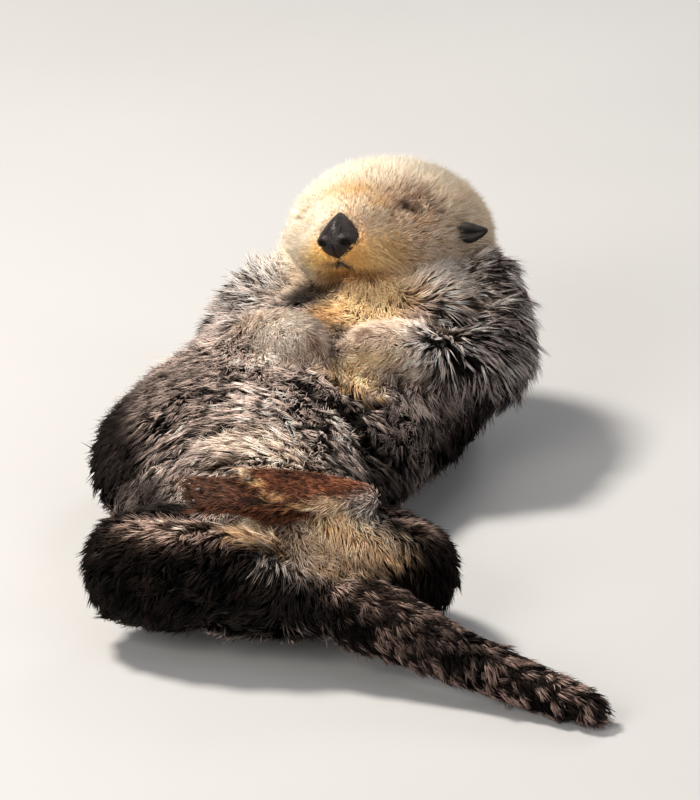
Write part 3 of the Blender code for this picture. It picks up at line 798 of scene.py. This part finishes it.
def coat_piece(name, faces, count, unwrap, material, slot, seed, rings=2, strand=4, lock=16,
               wider=1.0, loose=0.22, fuzz=0.15):
    """One piece of the coat, on the chosen faces of the skin, with its map laid out by unwrap.

    A strand is a few tufts that share a point, and a lock is the strands that lean together. Loose says how
    far tufts stray from their lock, and fuzz how many of them are stiffer hairs that stand out of the coat.
    """
    rng = np.random.default_rng(seed)
    count = int(count * SHARE)
    picked = np.flatnonzero(faces)
    thick = thickness[corners[picked]].mean(1) * face_area[picked]
    total = np.cumsum(thick)
    marks = (np.arange(count) + rng.random(count)) / count * total[-1]
    chosen = picked[np.searchsorted(total, marks).clip(0, len(picked) - 1)]
    weight = rng.random((count, 2))
    over = weight.sum(1) > 1
    weight[over] = 1 - weight[over]
    weight = np.column_stack([1 - weight.sum(1), weight])
    spot = corners[chosen]

    def here(field):
        picked_values = field[spot]
        if picked_values.ndim == 2:
            return (picked_values * weight).sum(1)
        return (picked_values * weight[:, :, None]).sum(1)

    root, normal, way = here(skin), unit(here(skin_normal)), here(lie)
    length = here(tuft_length)
    width = here(tuft_width) * wider
    wet = here(gather)

    # each tuft belongs to a strand and each strand to a lock, whose middle sets its lie, length and shade
    strand_head, in_strand = nearest_leader(root, rng, max(2, count // strand))
    lock_head, strand_lock = nearest_leader(root[strand_head], rng, max(2, count // lock))
    in_lock = strand_lock[in_strand]
    locks, strands = len(lock_head), len(strand_head)
    lock_root = root[strand_head[lock_head]][in_lock]
    off_centre = np.linalg.norm(root - lock_root, axis=1)
    ridge = 1 - ease(0.30, 1.15, off_centre / (1.5 * np.median(off_centre)))
    lock_turn = rng.normal(0, LOCK_TURN, locks)[in_lock] * (0.25 + 0.75 * wet)
    strand_turn = rng.normal(0, STRAND_TURN, strands)[in_strand]
    lock_long = 1 + rng.normal(0, LOCK_LONG, locks)[in_lock] * wet
    lock_tone = rng.normal(0, 1, locks)[in_lock]
    strand_tone = rng.normal(0, 1, strands)[in_strand]
    lean = lock_turn + strand_turn + rng.normal(0, loose, count)
    way = laid_flat(turned(laid_flat(way, normal), normal, lean), normal)
    side = np.cross(normal, way)
    length = length * lock_long * rng.uniform(0.74, 1.08, count) * (0.86 + 0.20 * ridge * wet)
    rise = np.arcsin(np.clip(here(depth) / length, 0.05, 0.92))
    rise = rise * rng.uniform(0.72, 1.10, count) * (1 + wet * (0.35 * ridge - 0.30))
    guard = rng.random(count) < fuzz * (1 - 0.8 * wet)
    rise = np.where(guard, np.minimum(rise * GUARD_RISE, GUARD_STEEPEST), rise)
    width = np.where(guard, GUARD_WIDTH * width, width)
    wet = np.where(guard, GUARD_WET * wet, wet)
    sway = rng.normal(0, TUFT_SWAY, count) + rng.normal(0, LOCK_SWAY, locks)[in_lock]

    def path(s):
        slope = rise + (0.5 - 0.5 * s) * CURL
        across = way * (s * np.cos(slope))[:, None] + normal * (s * np.sin(slope))[:, None]
        return root - normal * DROP + (across + side * (sway * s * s)[:, None]) * length[:, None]

    # the points of a lock's tufts are drawn together, the more so the wetter it is
    tip = path(1.0)
    strand_tip = tip[strand_head]
    aim = strand_tip[in_strand] * 0.5 + strand_tip[lock_head][in_lock] * 0.5
    pulled = aim + rng.normal(0, 0.0010, (count, 3)) - tip
    reach = np.linalg.norm(pulled, axis=1, keepdims=True)
    pulled *= np.minimum(1, MOST_PULLED * length[:, None] / np.maximum(reach, 1e-9))
    pull = wet[:, None]
    steps = [k / rings for k in range(rings)]
    rows = []
    for s in steps:
        centre = path(s) + pulled * pull * s ** 0.95
        ahead = unit(path(s + 0.1) - path(s) + pulled * pull * 0.12)
        beam = unit(np.cross(ahead, side))
        across = np.cross(beam, ahead)
        half = (width * TUFT_HALF * (1 - s) ** TUFT_TAPER)[:, None]
        for turn in (math.radians(90), math.radians(210), math.radians(330)):
            rows.append(centre + (across * math.cos(turn) + beam * math.sin(turn) * TUFT_FLAT) * half)
    rows.append(tip + pulled * pull)
    per_tuft = len(rows)
    points = np.stack(rows, 1).reshape(-1, 3)
    points[:, 2] = np.maximum(points[:, 2], FLOOR_GAP)
    faces_one = tuft_pattern(rings)
    loop_one = np.array([k for face in faces_one for k in face])
    loop_points = (np.arange(count)[:, None] * per_tuft + loop_one).ravel()
    loop_counts = np.tile([len(face) for face in faces_one], count)
    mesh = build_mesh(name, points, loop_points, loop_counts)

    along = np.array([s for s in steps for _ in range(3)] + [1.0])
    keep(mesh, "along", "FLOAT", np.tile(along, count))
    shade = 0.9 * wet * lock_tone + 0.4 * strand_tone + rng.normal(0, 0.6, count)
    shade = np.exp(here(contrast) * shade + here(tone))[:, None]
    # a tuft's markings are those of the place where it shows; at the edges of each lock its tip is painted as
    # dark as its foot, partly the dark underfur that shows there and partly painted shade between the locks,
    # and along the ridge of each lock the tip keeps its pale colour
    shows = np.array([skin_finder.find(p)[1] for p in root + way * (length * SEEN)[:, None]])
    # dry is the share of its tip colour that a tuft keeps: all of it on a lock's ridge, and none where the
    # painted gap shade takes the tip to its foot's colour
    dry = ease(0, 1, (0.72 * ridge + 0.28 * rng.random(strands)[in_strand] - shaded_edge[shows]) / 0.30)
    pale = (1 - gap_shade[shows] * (1 - dry))[:, None]
    foot, tip_shade = here(foot_tint), tip_tint[shows]
    for tint, colours in (("foot_tint", foot), ("tip_tint", foot + (tip_shade - foot) * pale)):
        keep(mesh, tint, "FLOAT_COLOR", np.repeat(np.clip(colours * shade, 0, 0.97), per_tuft, 0))

    corner_across = np.tile([-0.5, 0.0, 0.5], rings).tolist() + [0.0]
    patch = np.column_stack([corner_across, along])[None] * MAP_PATCH
    flat = (unwrap(root)[:, None] * MAP_SPAN + MAP_PATCH + patch).reshape(-1, 2)
    layer = mesh.uv_layers.new(name="OFBake")
    layer.uv.foreach_set("vector", flat[loop_points].astype(np.float32).ravel())
    mesh.materials.append(material)
    add_piece(name, mesh, slot)


def sleeve(start, way, slit):
    """An unwrap that opens the skin like a sleeve about a line: the turn about it, and the way along it.

    The sleeve is cut along the side that slit points to.
    """
    start, way = np.array(start, float), unit(way)
    first = unit(np.array(slit) - way * (np.array(slit) @ way))
    second = np.cross(way, first)

    def unwrap(points):
        apart = points - start
        turn = np.arctan2(-(apart @ second), -(apart @ first))
        flat = np.column_stack([turn, apart @ way])
        return (flat - flat.min(0)) / np.maximum(np.ptp(flat, axis=0), 1e-9)
    return unwrap


def on_node(name):
    """Which faces of the skin belong to a node."""
    return face_owner == name


dry_fur = coat_finish("dry fur", 0.62, 0.85, 0.30)
deep_fur = coat_finish("deep fur", 0.58, 0.75, 0.40, gloss=0.15)
wet_fur = coat_finish("wet fur", 0.50, 1.3, 0.45, gloss=0.10)
soaked_fur = coat_finish("soaked fur", 0.50, 1.5, 0.45, gloss=0.08)
left_half = face_mid @ face_left > head_mid @ face_left
face_throat = throat[corners].mean(1) > 0.5
ACROSS, ALONG, UP = (1, 0, 0), (0, 1, 0), (0, 0, 1)
NECK_MID, TRUNK_MID = (0.036, 0.25, 0.12), (-0.01, 0, 0.07)
BACK_TOP, BELLY_MIDDLE = 0.062, 0.035       # how high the back's coat reaches, and where the belly's two meet
for half, label, cut, seed in ((left_half, "left", -face_left, 11), (~left_half, "right", face_left, 12)):
    coat_piece("coat_head_" + label, on_node("head") & ~face_throat & half, 30000,
               sleeve(head_mid, face_out, cut), dry_fur, "cream_fur", seed,
               rings=1, strand=3, lock=9, loose=0.30, fuzz=0.34)
neck_sleeve = sleeve(NECK_MID, ALONG, down)
coat_piece("coat_chin_throat", on_node("head") & face_throat, 8500, neck_sleeve, deep_fur, "cream_fur", 20,
           lock=12)
coat_piece("coat_neck", on_node("neck"), 8500, neck_sleeve, deep_fur, "throat_fur", 21, strand=5, lock=18)
belly_sleeve = sleeve(TRUNK_MID, ALONG, down)
upper = on_node("trunk") & (face_mid[:, 2] > BACK_TOP)
front = face_mid[:, 1] > BELLY_MIDDLE
coat_piece("coat_belly_front", upper & front, 17000, belly_sleeve, deep_fur, "body_fur", 31)
coat_piece("coat_belly_rear", upper & ~front, 17000, belly_sleeve, deep_fur, "body_fur", 32)
coat_piece("coat_back", on_node("trunk") & ~upper, 11000, sleeve(TRUNK_MID, ALONG, UP), wet_fur,
           "body_fur", 33, wider=1.8)
coat_piece("coat_tail", on_node("tail"), 9500, sleeve(tail_low, tail_way, down), soaked_fur, "tail_fur", 41,
           strand=6, lock=32)
FOOT_GATHERED = {"strand": 3, "lock": 10, "loose": 0.12}
for side, label, seed in (("L", "left", 0), ("R", "right", 1)):
    for part, node, count, way, material, slot, first_seed, gathered in (
        ("arm", "foreleg_", 11500, ALONG, wet_fur, "arm_fur", 51, {"lock": 19}),
        ("paw", "forepaw_", 5500, (1, -0.5, 0.2), dry_fur, "paw_fur", 61, {"loose": 0.34}),
        ("leg", "hind_leg_", 7500, ACROSS, soaked_fur, "leg_fur", 71, {}),
        ("foot", "hind_foot_", 3500, ACROSS, deep_fur, "foot_skin", 81, FOOT_GATHERED),
    ):
        coat_piece("coat_%s_%s" % (part, label), on_node(node + side), count,
                   sleeve(middle(node + side), way, down), material, slot, first_seed + seed, **gathered)

# ---------------------------------------------------------------- the nose and lips
# The otter's bare nose pad, a broad rounded diamond of dark pebbled skin with a comma-shaped nostril on each
# side and a groove down its middle, and the two short dark lips that run out from the cleft below it.

PAD_HALF_WIDE, PAD_HALF_HIGH = 0.0232, 0.0222
PAD_FRONT, PAD_RIM, PAD_BACK = 0.0125, -0.0035, -0.0130     # how far out its front, rim and back lie
PAD_CORNER = 1.34           # 1 makes its outline a sharp diamond and 2 an oval
PAD_TAPER = 0.16            # how much smaller its hidden back is
PAD_SAG = 0.0058            # how far its widest part and the nostrils hang below its middle
ROUND_PAD, ACROSS_PAD, SKIRT = 132, 46, 6
# a nostril and its tail: the middle to the side and up, the half sizes, and the tilt in degrees
NOSTRIL = (0.0118, -0.0036, 0.0050, 0.0029, 24)
NOSTRIL_TAIL = (0.0160, -0.0060, 0.0036, 0.0014, -40)
NOSTRIL_DEEP, GROOVE_DEEP = 0.0058, 0.0016
GROOVE, GROOVE_TOP = (0.0004, 0.0017), (-0.010, -0.004)     # where it is whole and ends, aside and up
# the swelling over a nostril and the one between them: the middle and the half sizes
WING = (0.0125, -0.0010, 0.0085, 0.0075)
BRIDGE = (0.0, 0.007, 0.012, 0.011)
WING_HIGH, BRIDGE_HIGH = 0.0022, 0.0014
LIP_THICK, LIP_PROUD = 0.0018, 0.0006

skin_tree = BVHTree.FromPolygons([Vector(p) for p in skin], [tuple(int(k) for k in c) for c in corners])


def touch(place, way, reach=0.06):
    """Where a line that comes in along way, towards a place, first meets the skin."""
    place, way = Vector(place), Vector(way).normalized()
    hit = skin_tree.ray_cast(place + way * reach, -way)[0]
    return np.array(hit if hit is not None else place)


def ringed_mesh(name, rings, around, close_first, close_last):
    """A mesh through rings of points, each with the same number of them, with pointed ends where asked."""
    points = np.concatenate(rings)
    faces = ring_faces(0, len(rings), around)
    for closed, at, flip in ((close_first, 0, True), (close_last, (len(rings) - 1) * around, False)):
        if closed:
            points = np.vstack([points, points[at:at + around].mean(0)])
            fan = [(at + k, at + (k + 1) % around, len(points) - 1) for k in range(around)]
            faces += [face[::-1] for face in fan] if flip else fan
    mesh = bpy.data.meshes.new(name)
    mesh.from_pydata(points.tolist(), [], faces)
    mesh.polygons.foreach_set("use_smooth", np.ones(len(mesh.polygons), bool))
    return mesh, points


def full_turn(steps):
    """The angles of even steps once round a ring."""
    return np.linspace(0, 2 * math.pi, steps, endpoint=False)


def in_oval(left, up, oval, side):
    """1 in the middle of a tilted oval on one side of the nose, and 0 at its edge and beyond."""
    tilt = math.radians(oval[4]) * side
    x, y = left - oval[0] * side, up - oval[1]
    along, across = x * math.cos(tilt) + y * math.sin(tilt), y * math.cos(tilt) - x * math.sin(tilt)
    return 1 - ease(0.55, 1.15, np.hypot(along / oval[2], across / oval[3]))


def from_middle(left, up, oval, side=1):
    """How far out from the middle of an upright oval, where 1 is its edge."""
    return np.hypot((left - oval[0] * side) / oval[2], (up - oval[1]) / oval[3])


turns = full_turn(ROUND_PAD)
pad_edge = ((np.abs(np.cos(turns)) / PAD_HALF_WIDE) ** PAD_CORNER
            + (np.abs(np.sin(turns)) / PAD_HALF_HIGH) ** PAD_CORNER) ** (-1 / PAD_CORNER)
rings, hollow = [], []
for step in range(1, ACROSS_PAD + SKIRT + 1):
    share = min(step / ACROSS_PAD, 1)
    back = max(step - ACROSS_PAD, 0) / SKIRT
    left, up = np.cos(turns) * pad_edge * share, np.sin(turns) * pad_edge * share
    out = np.full(ROUND_PAD, PAD_RIM + (PAD_FRONT - PAD_RIM) * (1 - share ** 2.3) ** 0.62)
    nostril = sum(np.maximum(in_oval(left, up, NOSTRIL, side), in_oval(left, up, NOSTRIL_TAIL, side))
                  for side in (1, -1))
    wing = sum(1 - ease(0.2, 1.0, from_middle(left, up, WING, side)) for side in (1, -1))
    groove = (1 - ease(*GROOVE, np.abs(left))) * (1 - ease(*GROOVE_TOP, up))
    bridge = 1 - ease(0.2, 1.1, from_middle(left, up, BRIDGE))
    out = out + WING_HIGH * wing + BRIDGE_HIGH * bridge - NOSTRIL_DEEP * nostril - GROOVE_DEEP * groove
    out = out + (PAD_BACK - PAD_RIM) * back
    shrink = 1 - PAD_TAPER * back
    sag = PAD_SAG * (1 - (up / PAD_HALF_HIGH) ** 2)
    rings.append(nose_mid + np.stack([left * shrink, (up - sag) * shrink, out], 1) @ face_ways)
    hollow.append(np.maximum(nostril, 0.7 * groove) * (back == 0))
nose_mesh, _ = ringed_mesh("nose pad", rings, ROUND_PAD, True, False)
keep(nose_mesh, "hollow", "FLOAT", np.append(np.concatenate(hollow), 0))
nose_skin, wire, shader = finish_of("pebbled nose skin", IOR=1.45, Specular_IOR_Level=0.3)
place = wire.node("TexCoord", output=3)
pebble = wire.node("TexVoronoi", {"feature": "SMOOTH_F1"}, Vector=place, Scale=620.0)
smear = wire.node("TexNoise", Vector=place, Scale=160.0, Detail=4.0)
# the nostrils, and the groove more weakly, are painted near black as painted shade in these hollows
dark = wire.node("Attribute", {"attribute_name": "hollow"}, output=2)
colour = smear.step(0.35, 0.7).mix((0.006, 0.0042, 0.0045, 1), (0.022, 0.016, 0.017, 1))
feed(dark.mix(colour, (0.0012, 0.0008, 0.0008, 1)), shader, "Base Color")
feed(0.44 + 0.30 * (smear - 0.4) + 0.3 * dark, shader, "Roughness")
feed(wire.node("Bump", Height=1 - pebble, Strength=0.55, Distance=0.0009), shader, "Normal")
nose_mesh.materials.append(nose_skin)
add_piece("nose_pad", nose_mesh, "nose_skin", "nose")


def tube_rings(path, thick, around, flat=1.0):
    """Rings of points round a path, thick at each of its places, and flattened to face the head's outlook."""
    path = np.asarray(path, float)
    ahead = unit(np.gradient(path, axis=0))
    level = unit(np.cross(ahead, face_out + 0.01))
    up = np.cross(level, ahead)
    turn = full_turn(around)
    return [path[k] + thick[k] * (np.outer(np.cos(turn), level[k]) + np.outer(np.sin(turn), up[k]) * flat)
            for k in range(len(path))]


def through(places, steps):
    """Places evened out into steps along a smooth line."""
    places = np.array(places, float)
    share = np.linspace(0, 1, len(places))
    fine = np.linspace(0, 1, steps)
    line = np.stack([np.interp(fine, share, places[:, k]) for k in range(places.shape[1])], 1)
    for _ in range(3):
        line[1:-1] = (line[:-2] + 2 * line[1:-1] + line[2:]) / 4
    return line


def mottled(name, grain, dark, light, least_rough, rougher, detail=2.0, index=1.5):
    """A plain finish in two shades, mottled finely or broadly, and rougher where it is lighter."""
    material, wire, shader = finish_of(name, IOR=index, Specular_IOR_Level=0.5)
    mottle = wire.node("TexNoise", Scale=grain, Detail=detail)
    feed(mottle.step(0.3, 0.7).mix(dark + (1,), light + (1,)), shader, "Base Color")
    feed(least_rough + rougher * mottle, shader, "Roughness")
    return material


lip_skin = mottled("dark lip", 300.0, (0.006, 0.004, 0.004), (0.030, 0.015, 0.012), 0.35, 0.3, 3.0, 1.45)
for lip, label in ((LIPS[1], "left"), (LIPS[0], "right")):
    line = through(lip, 16)
    path = np.array([touch(on_face(*place, 0.0), face_out) for place in line]) + face_out * LIP_PROUD
    share = np.linspace(0, 1, len(path))
    thick = LIP_THICK * (0.45 + 0.75 * share) * (1 - ease(0.75, 1.02, share) * 0.9)
    lip_mesh, _ = ringed_mesh("lip", tube_rings(path, thick, 12, 0.7), 12, True, True)
    lip_mesh.materials.append(lip_skin)
    add_piece("lip_" + label, lip_mesh, "nose_skin")

# ---------------------------------------------------------------- the eyelids
# The closed lids of each eye: thin wrinkled skin, domed by the eyeball under it, with a dark slit where the
# upper lid meets the lower. Short fur of the face grows up to their edge and hides most of it.

LID_HALF_WIDE, LID_HALF_HIGH = 0.0110, 0.0024
LID_DOME, SLIT_DEEP, LID_TUCK = 0.0004, 0.0012, 0.0008      # how far its dome, slit and edge stand out or in
LID_ROUND, LID_RINGS = 56, 16
LID_COLOUR = {"L": (0.14, 0.080, 0.056), "R": (0.40, 0.27, 0.16)}

for side in "LR":
    lid_out, lid_left, lid_up = eye_ways[side]
    turns = full_turn(LID_ROUND)
    rings, slit = [], []
    for step in range(LID_RINGS):
        share = (step + 0.5) / LID_RINGS
        x = np.cos(turns) * LID_HALF_WIDE * share
        y = np.sin(turns) * LID_HALF_HIGH * share * (1 - 0.25 * np.cos(turns) ** 2)
        bow = from_line(np.stack([x, y], 1), SLIT_BOW)
        gap = 1 - ease(0.0002, 0.0013, bow)
        lift = LID_DOME * (1 - share ** 2) - SLIT_DEEP * gap * (1 - share ** 4) - LID_TUCK * (share > 0.9)
        foot = [touch(lid_mid[side] + lid_left * a + lid_up * b, lid_out, 0.02) for a, b in zip(x, y)]
        rings.append(np.array(foot) + np.outer(lift, lid_out))
        slit.append(gap)
    lid_mesh, _ = ringed_mesh("lids", rings, LID_ROUND, True, False)
    keep(lid_mesh, "slit", "FLOAT", np.append(np.concatenate(slit), 1))
    lid_skin, wire, shader = finish_of("lid skin " + side, IOR=1.42, Specular_IOR_Level=0.35)
    place = wire.node("TexCoord", output=3)
    fine = wire.node("TexNoise", Vector=place, Scale=520.0, Detail=4.0)
    shut = wire.node("Attribute", {"attribute_name": "slit"}, output=2)
    dark, light, darkest = (tuple(share * c for c in LID_COLOUR[side]) + (1,) for share in (0.6, 1.3, 0.14))
    colour = fine.step(0.3, 0.75).mix(dark, light)
    feed(shut.mix(colour, darkest), shader, "Base Color")
    feed(0.45 + 0.3 * fine, shader, "Roughness")
    feed(wire.node("Bump", Height=fine, Strength=0.5, Distance=0.0006), shader, "Normal")
    lid_mesh.materials.append(lid_skin)
    add_piece("lids_" + side, lid_mesh, "lid_skin", "eyelid_" + side)

# ---------------------------------------------------------------- the ears
# Two small rolled cones of thick dark skin, low on the sides of the head. Each is open down its front, where
# the rolled edges meet, and has a short dark down on it.

EAR_ROUND, EAR_RINGS = 48, 30
# how the left ear pricks to the side of the head, and how far up it stands from its solid
EAR_TURN = {"L": (0.90, -0.40), "R": (0.0, 0.0)}
EAR_LIFT = {"L": 0.0130, "R": 0.0}
EAR_ROLL = 0.55             # how deep the opening runs in, as a share of the ear's half width
EAR_REACH, EAR_ROOT = 1.04, 0.985           # its whole length and its rooted length, as shares of its solid's
EAR_SHORT, EAR_SLIM = 0.90, 0.92            # and its length and width in the coat's outline
EAR_BOW = 0.0012            # how far it bows over

ear_skin, wire, shader = finish_of("dark ear skin", IOR=1.45, Specular_IOR_Level=0.3)
place = wire.node("TexCoord", output=3)
nap = wire.node("TexNoise", Vector=place, Scale=700.0, Detail=3.0)
sheen = wire.node("TexNoise", Vector=place, Scale=90.0, Detail=2.0)
# the inside of each ear's roll is painted darker than the rest, as painted shade in its fold
inner = wire.node("Attribute", {"attribute_name": "inner"}, output=2)
colour = nap.step(0.35, 0.75).mix((0.003, 0.0024, 0.0026, 1), (0.013, 0.010, 0.010, 1))
feed(inner.mix(colour, (0.002, 0.0015, 0.0015, 1)), shader, "Base Color")
feed(0.46 + 0.3 * sheen, shader, "Roughness")
feed(wire.node("Bump", Height=nap, Strength=0.5, Distance=0.0006), shader, "Normal")
for side, label in (("L", "left"), ("R", "right")):
    solid = points_of(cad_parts["ear_" + side].data)
    far = np.linalg.norm(solid - head_mid, axis=1)
    ear_tip = solid[far.argmax()]
    ear_way = unit(ear_tip - solid[far < np.quantile(far, 0.35)].mean(0))
    run = solid @ ear_way
    ear_long = (ear_tip @ ear_way - run.min()) * EAR_REACH
    ear_foot = ear_tip - ear_way * ear_long * EAR_ROOT + face_up * EAR_LIFT[side]
    ear_way = unit(ear_way + face_left * EAR_TURN[side][0] + face_up * EAR_TURN[side][1])
    ear_long *= EAR_SHORT
    front = laid_flat(unit(face_out * 0.7 + to_nose)[None], ear_way[None])[0]
    over = np.cross(ear_way, front)
    half = [np.ptp(solid @ way) / 2 for way in (over, front)]
    rings, inside = [], []
    turns = full_turn(EAR_ROUND)
    off_front = ((turns + math.pi) % (2 * math.pi)) - math.pi
    for step in range(EAR_RINGS):
        share = step / (EAR_RINGS - 1)
        swell = (1 - share ** 2.1) ** 0.62 * (1 + 0.18 * math.sin(math.pi * min(share * 1.6, 1)))
        roll = hump(off_front / 0.50, 0) * math.sin(math.pi * share ** 0.7)
        radius = swell * (1 - EAR_ROLL * roll)
        centre = ear_foot + ear_way * ear_long * share + over * EAR_BOW * math.sin(math.pi * share)
        rings.append(centre + np.outer(np.cos(turns) * radius * half[1] * EAR_SLIM, front)
                     + np.outer(np.sin(turns) * radius * half[0] * EAR_SLIM, over))
        inside.append(roll)
    ear_mesh, _ = ringed_mesh("ear", rings, EAR_ROUND, True, True)
    keep(ear_mesh, "inner", "FLOAT", np.append(np.concatenate(inside), (0, 0)))
    ear_mesh.materials.append(ear_skin)
    add_piece("ear_" + label, ear_mesh, "ear_fur", "ear_" + side)

# ---------------------------------------------------------------- the whiskers
# Stiff pale hairs in rows on the pad at either side of the nose, swept back and down over the cheek. Each is
# a thin tapered tube set in the skin.

WHISKER_ROWS = (-0.007, -0.014, -0.021)     # how far up from the nose's middle each row lies
WHISKERS_A_ROW = 4
# how far to the side a row starts, how far apart its whiskers are, and how much further out the next starts
ROW_START, ROW_APART, ROW_SHIFT = 0.026, 0.0045, 0.0015
WHISKER_LONG = (0.018, 0.036)
WHISKER_THICK, WHISKER_BOW, WHISKER_STRAY = 0.00017, 0.010, 0.0008
WHISKER_STEPS, WHISKER_ROUND = 12, 5

rng = np.random.default_rng(91)
whisker_rings, whisker_faces, start = [], [], 0
for side in (1, -1):
    for row, up in enumerate(WHISKER_ROWS):
        for place in range(WHISKERS_A_ROW):
            left = (ROW_START + ROW_APART * place + ROW_SHIFT * row) * side
            left += rng.normal(0, WHISKER_STRAY)
            spot = on_face(left, up + rng.normal(0, WHISKER_STRAY), 0.0)
            foot = touch(spot, unit(face_out + face_left * side * 0.5))
            long = rng.uniform(*WHISKER_LONG)
            sweep = face_left * side * 0.75 - face_out * rng.uniform(0.25, 0.5)
            sweep -= face_up * rng.uniform(0.1, 0.5)
            sag = -face_up * rng.uniform(0.10, 0.28) - face_out * 0.25
            share = np.linspace(0, 1, WHISKER_STEPS)[:, None]
            bow = face_out * WHISKER_BOW * np.sin(share * 1.6)
            bent = foot + unit(sweep) * share * long + bow + sag * share ** 2 * long
            thick = WHISKER_THICK * (1 - share[:, 0] * 0.8)
            whisker_rings += tube_rings(bent, thick, WHISKER_ROUND)
            whisker_faces += ring_faces(start, WHISKER_STEPS, WHISKER_ROUND)
            last = start + (WHISKER_STEPS - 1) * WHISKER_ROUND
            whisker_faces.append(tuple(start + k for k in reversed(range(WHISKER_ROUND))))
            whisker_faces.append(tuple(last + k for k in range(WHISKER_ROUND)))
            start = last + WHISKER_ROUND
whisker_mesh = bpy.data.meshes.new("whiskers")
whisker_mesh.from_pydata(np.concatenate(whisker_rings).tolist(), [], whisker_faces)
whisker_mesh.polygons.foreach_set("use_smooth", np.ones(len(whisker_faces), bool))
whisker_mesh.materials.append(mottled("whisker", 60.0, (0.42, 0.28, 0.13), (0.75, 0.60, 0.38), 0.35, 0.2))
add_piece("whiskers", whisker_mesh, "cream_fur")

# ---------------------------------------------------------------- the claws
# A short dark claw of horn at the end of each toe of the hind feet, half hidden by the fur of the toe.

CLAW_LONG, CLAW_THICK, CLAW_POINT = 0.0080, 0.0021, 0.0001
CLAW_ROOT, CLAW_BEND = 0.45, 0.45           # how much of it is in the toe, and how far its point bends down
CLAW_ROUND, CLAW_STEPS = 10, 9
TOES = 5
TOE_APART = 0.0072          # the least distance between two toes' ends

horn = mottled("dark horn", 400.0, (0.010, 0.007, 0.006), (0.060, 0.036, 0.024), 0.30, 0.25)
for side, label in (("L", "left"), ("R", "right")):
    solid = points_of(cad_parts["hind_foot_" + side].data)
    foot_mid = solid.mean(0)
    heel = solid[solid[:, 0] > np.quantile(solid[:, 0], 0.9)].mean(0)
    reach = unit(solid[solid[:, 0] < np.quantile(solid[:, 0], 0.15)].mean(0) - heel)
    # the toes' ends are the points furthest along the foot that aren't in line with one already taken
    ends = []
    for spot in solid[np.argsort(-(solid @ reach))]:
        sideways = [np.linalg.norm((spot - end) - ((spot - end) @ reach) * reach) for end in ends]
        if len(ends) < TOES and (spot - foot_mid) @ reach > 0 and all(far > TOE_APART for far in sideways):
            ends.append(spot)
    share = np.linspace(0, 1, CLAW_STEPS)
    thick = CLAW_THICK * (1 - share ** 1.6) + CLAW_POINT
    for toe, end in enumerate(ends):
        bend = np.outer(share ** 2 * CLAW_LONG * CLAW_BEND, down)
        path = end - reach * CLAW_LONG * CLAW_ROOT + np.outer(share * CLAW_LONG, reach) + bend
        claw_mesh, _ = ringed_mesh("claw", tube_rings(path, thick, CLAW_ROUND), CLAW_ROUND, True, True)
        claw_mesh.materials.append(horn)
        add_piece("claw_%s_%d" % (label, toe + 1), claw_mesh, "foot_skin")

# ---------------------------------------------------------------- the stage
# A plain pale floor and plain studio light: a warm lamp high on the otter's right that stands in for the sun,
# a wide warm one from the front, a weak fill from its left and a rim from behind. The camera stands beyond
# the tail, a little to one side and above, and looks along the body to the face.

VIEW_TURN, VIEW_RISE = math.radians(8), math.radians(22)
VIEW_FAR = 7.0              # how far the camera stands from what it aims at
FILM_WIDE, LENS_LONG = 36, 333.9            # in millimetres
LENS_REACH = 60             # how far the camera sees, in metres
FLOOR_SIZE = 12
AIM = Vector((0.0319, 0.1105, 0.100))       # what the camera and the lamps point at

floor_mesh = bpy.data.meshes.new("floor")
floor_form = bmesh.new()
bmesh.ops.create_grid(floor_form, x_segments=1, y_segments=1, size=FLOOR_SIZE)
floor_form.to_mesh(floor_mesh)
floor_form.free()
floor = into_scene("floor", floor_mesh)
floor_paint, wire, shader = finish_of("pale floor", Roughness=0.85)
grain = wire.node("TexNoise", Scale=60.0, Detail=3.0)
feed(grain.mix((0.38, 0.39, 0.41, 1), (0.42, 0.43, 0.45, 1)), shader, "Base Color")
floor_mesh.materials.append(floor_paint)

for name, place, size, power, colour in (
    ("key", (-1.55, 0.35, 2.85), 0.6, 175, (1.0, 0.91, 0.79)),
    ("front", (-1.2, -2.6, 1.6), 1.6, 78, (1.0, 0.93, 0.84)),
    ("fill", (2.4, -1.2, 1.6), 2.0, 22, (1.0, 0.95, 0.93)),
    ("rim", (0.9, 2.4, 1.9), 1.2, 24, (1.0, 0.96, 0.90)),
):
    lamp = bpy.data.lights.new(name, "AREA")
    lamp.size = size
    lamp.energy = power
    lamp.color = colour
    light = into_scene(name, lamp)
    light.location = place
    light.rotation_euler = (AIM - Vector(place)).to_track_quat("-Z", "Y").to_euler()

world = bpy.data.worlds.new("studio")
world.use_nodes = True
room_light = world.node_tree.nodes["Background"]
room_light.inputs["Color"].default_value = (0.98, 0.97, 0.96, 1)
room_light.inputs["Strength"].default_value = 0.24
bpy.context.scene.world = world
bpy.context.scene.view_settings.view_transform = "Standard"

lens = bpy.data.cameras.new("camera")
lens.sensor_width = FILM_WIDE
lens.lens = LENS_LONG
lens.clip_end = LENS_REACH
camera = into_scene("camera", lens)
back = Vector((math.sin(VIEW_TURN) * math.cos(VIEW_RISE), -math.cos(VIEW_TURN) * math.cos(VIEW_RISE),
               math.sin(VIEW_RISE)))
camera.location = AIM + back * VIEW_FAR
camera.rotation_euler = (-back).to_track_quat("-Z", "Y").to_euler()
bpy.context.scene.camera = camera
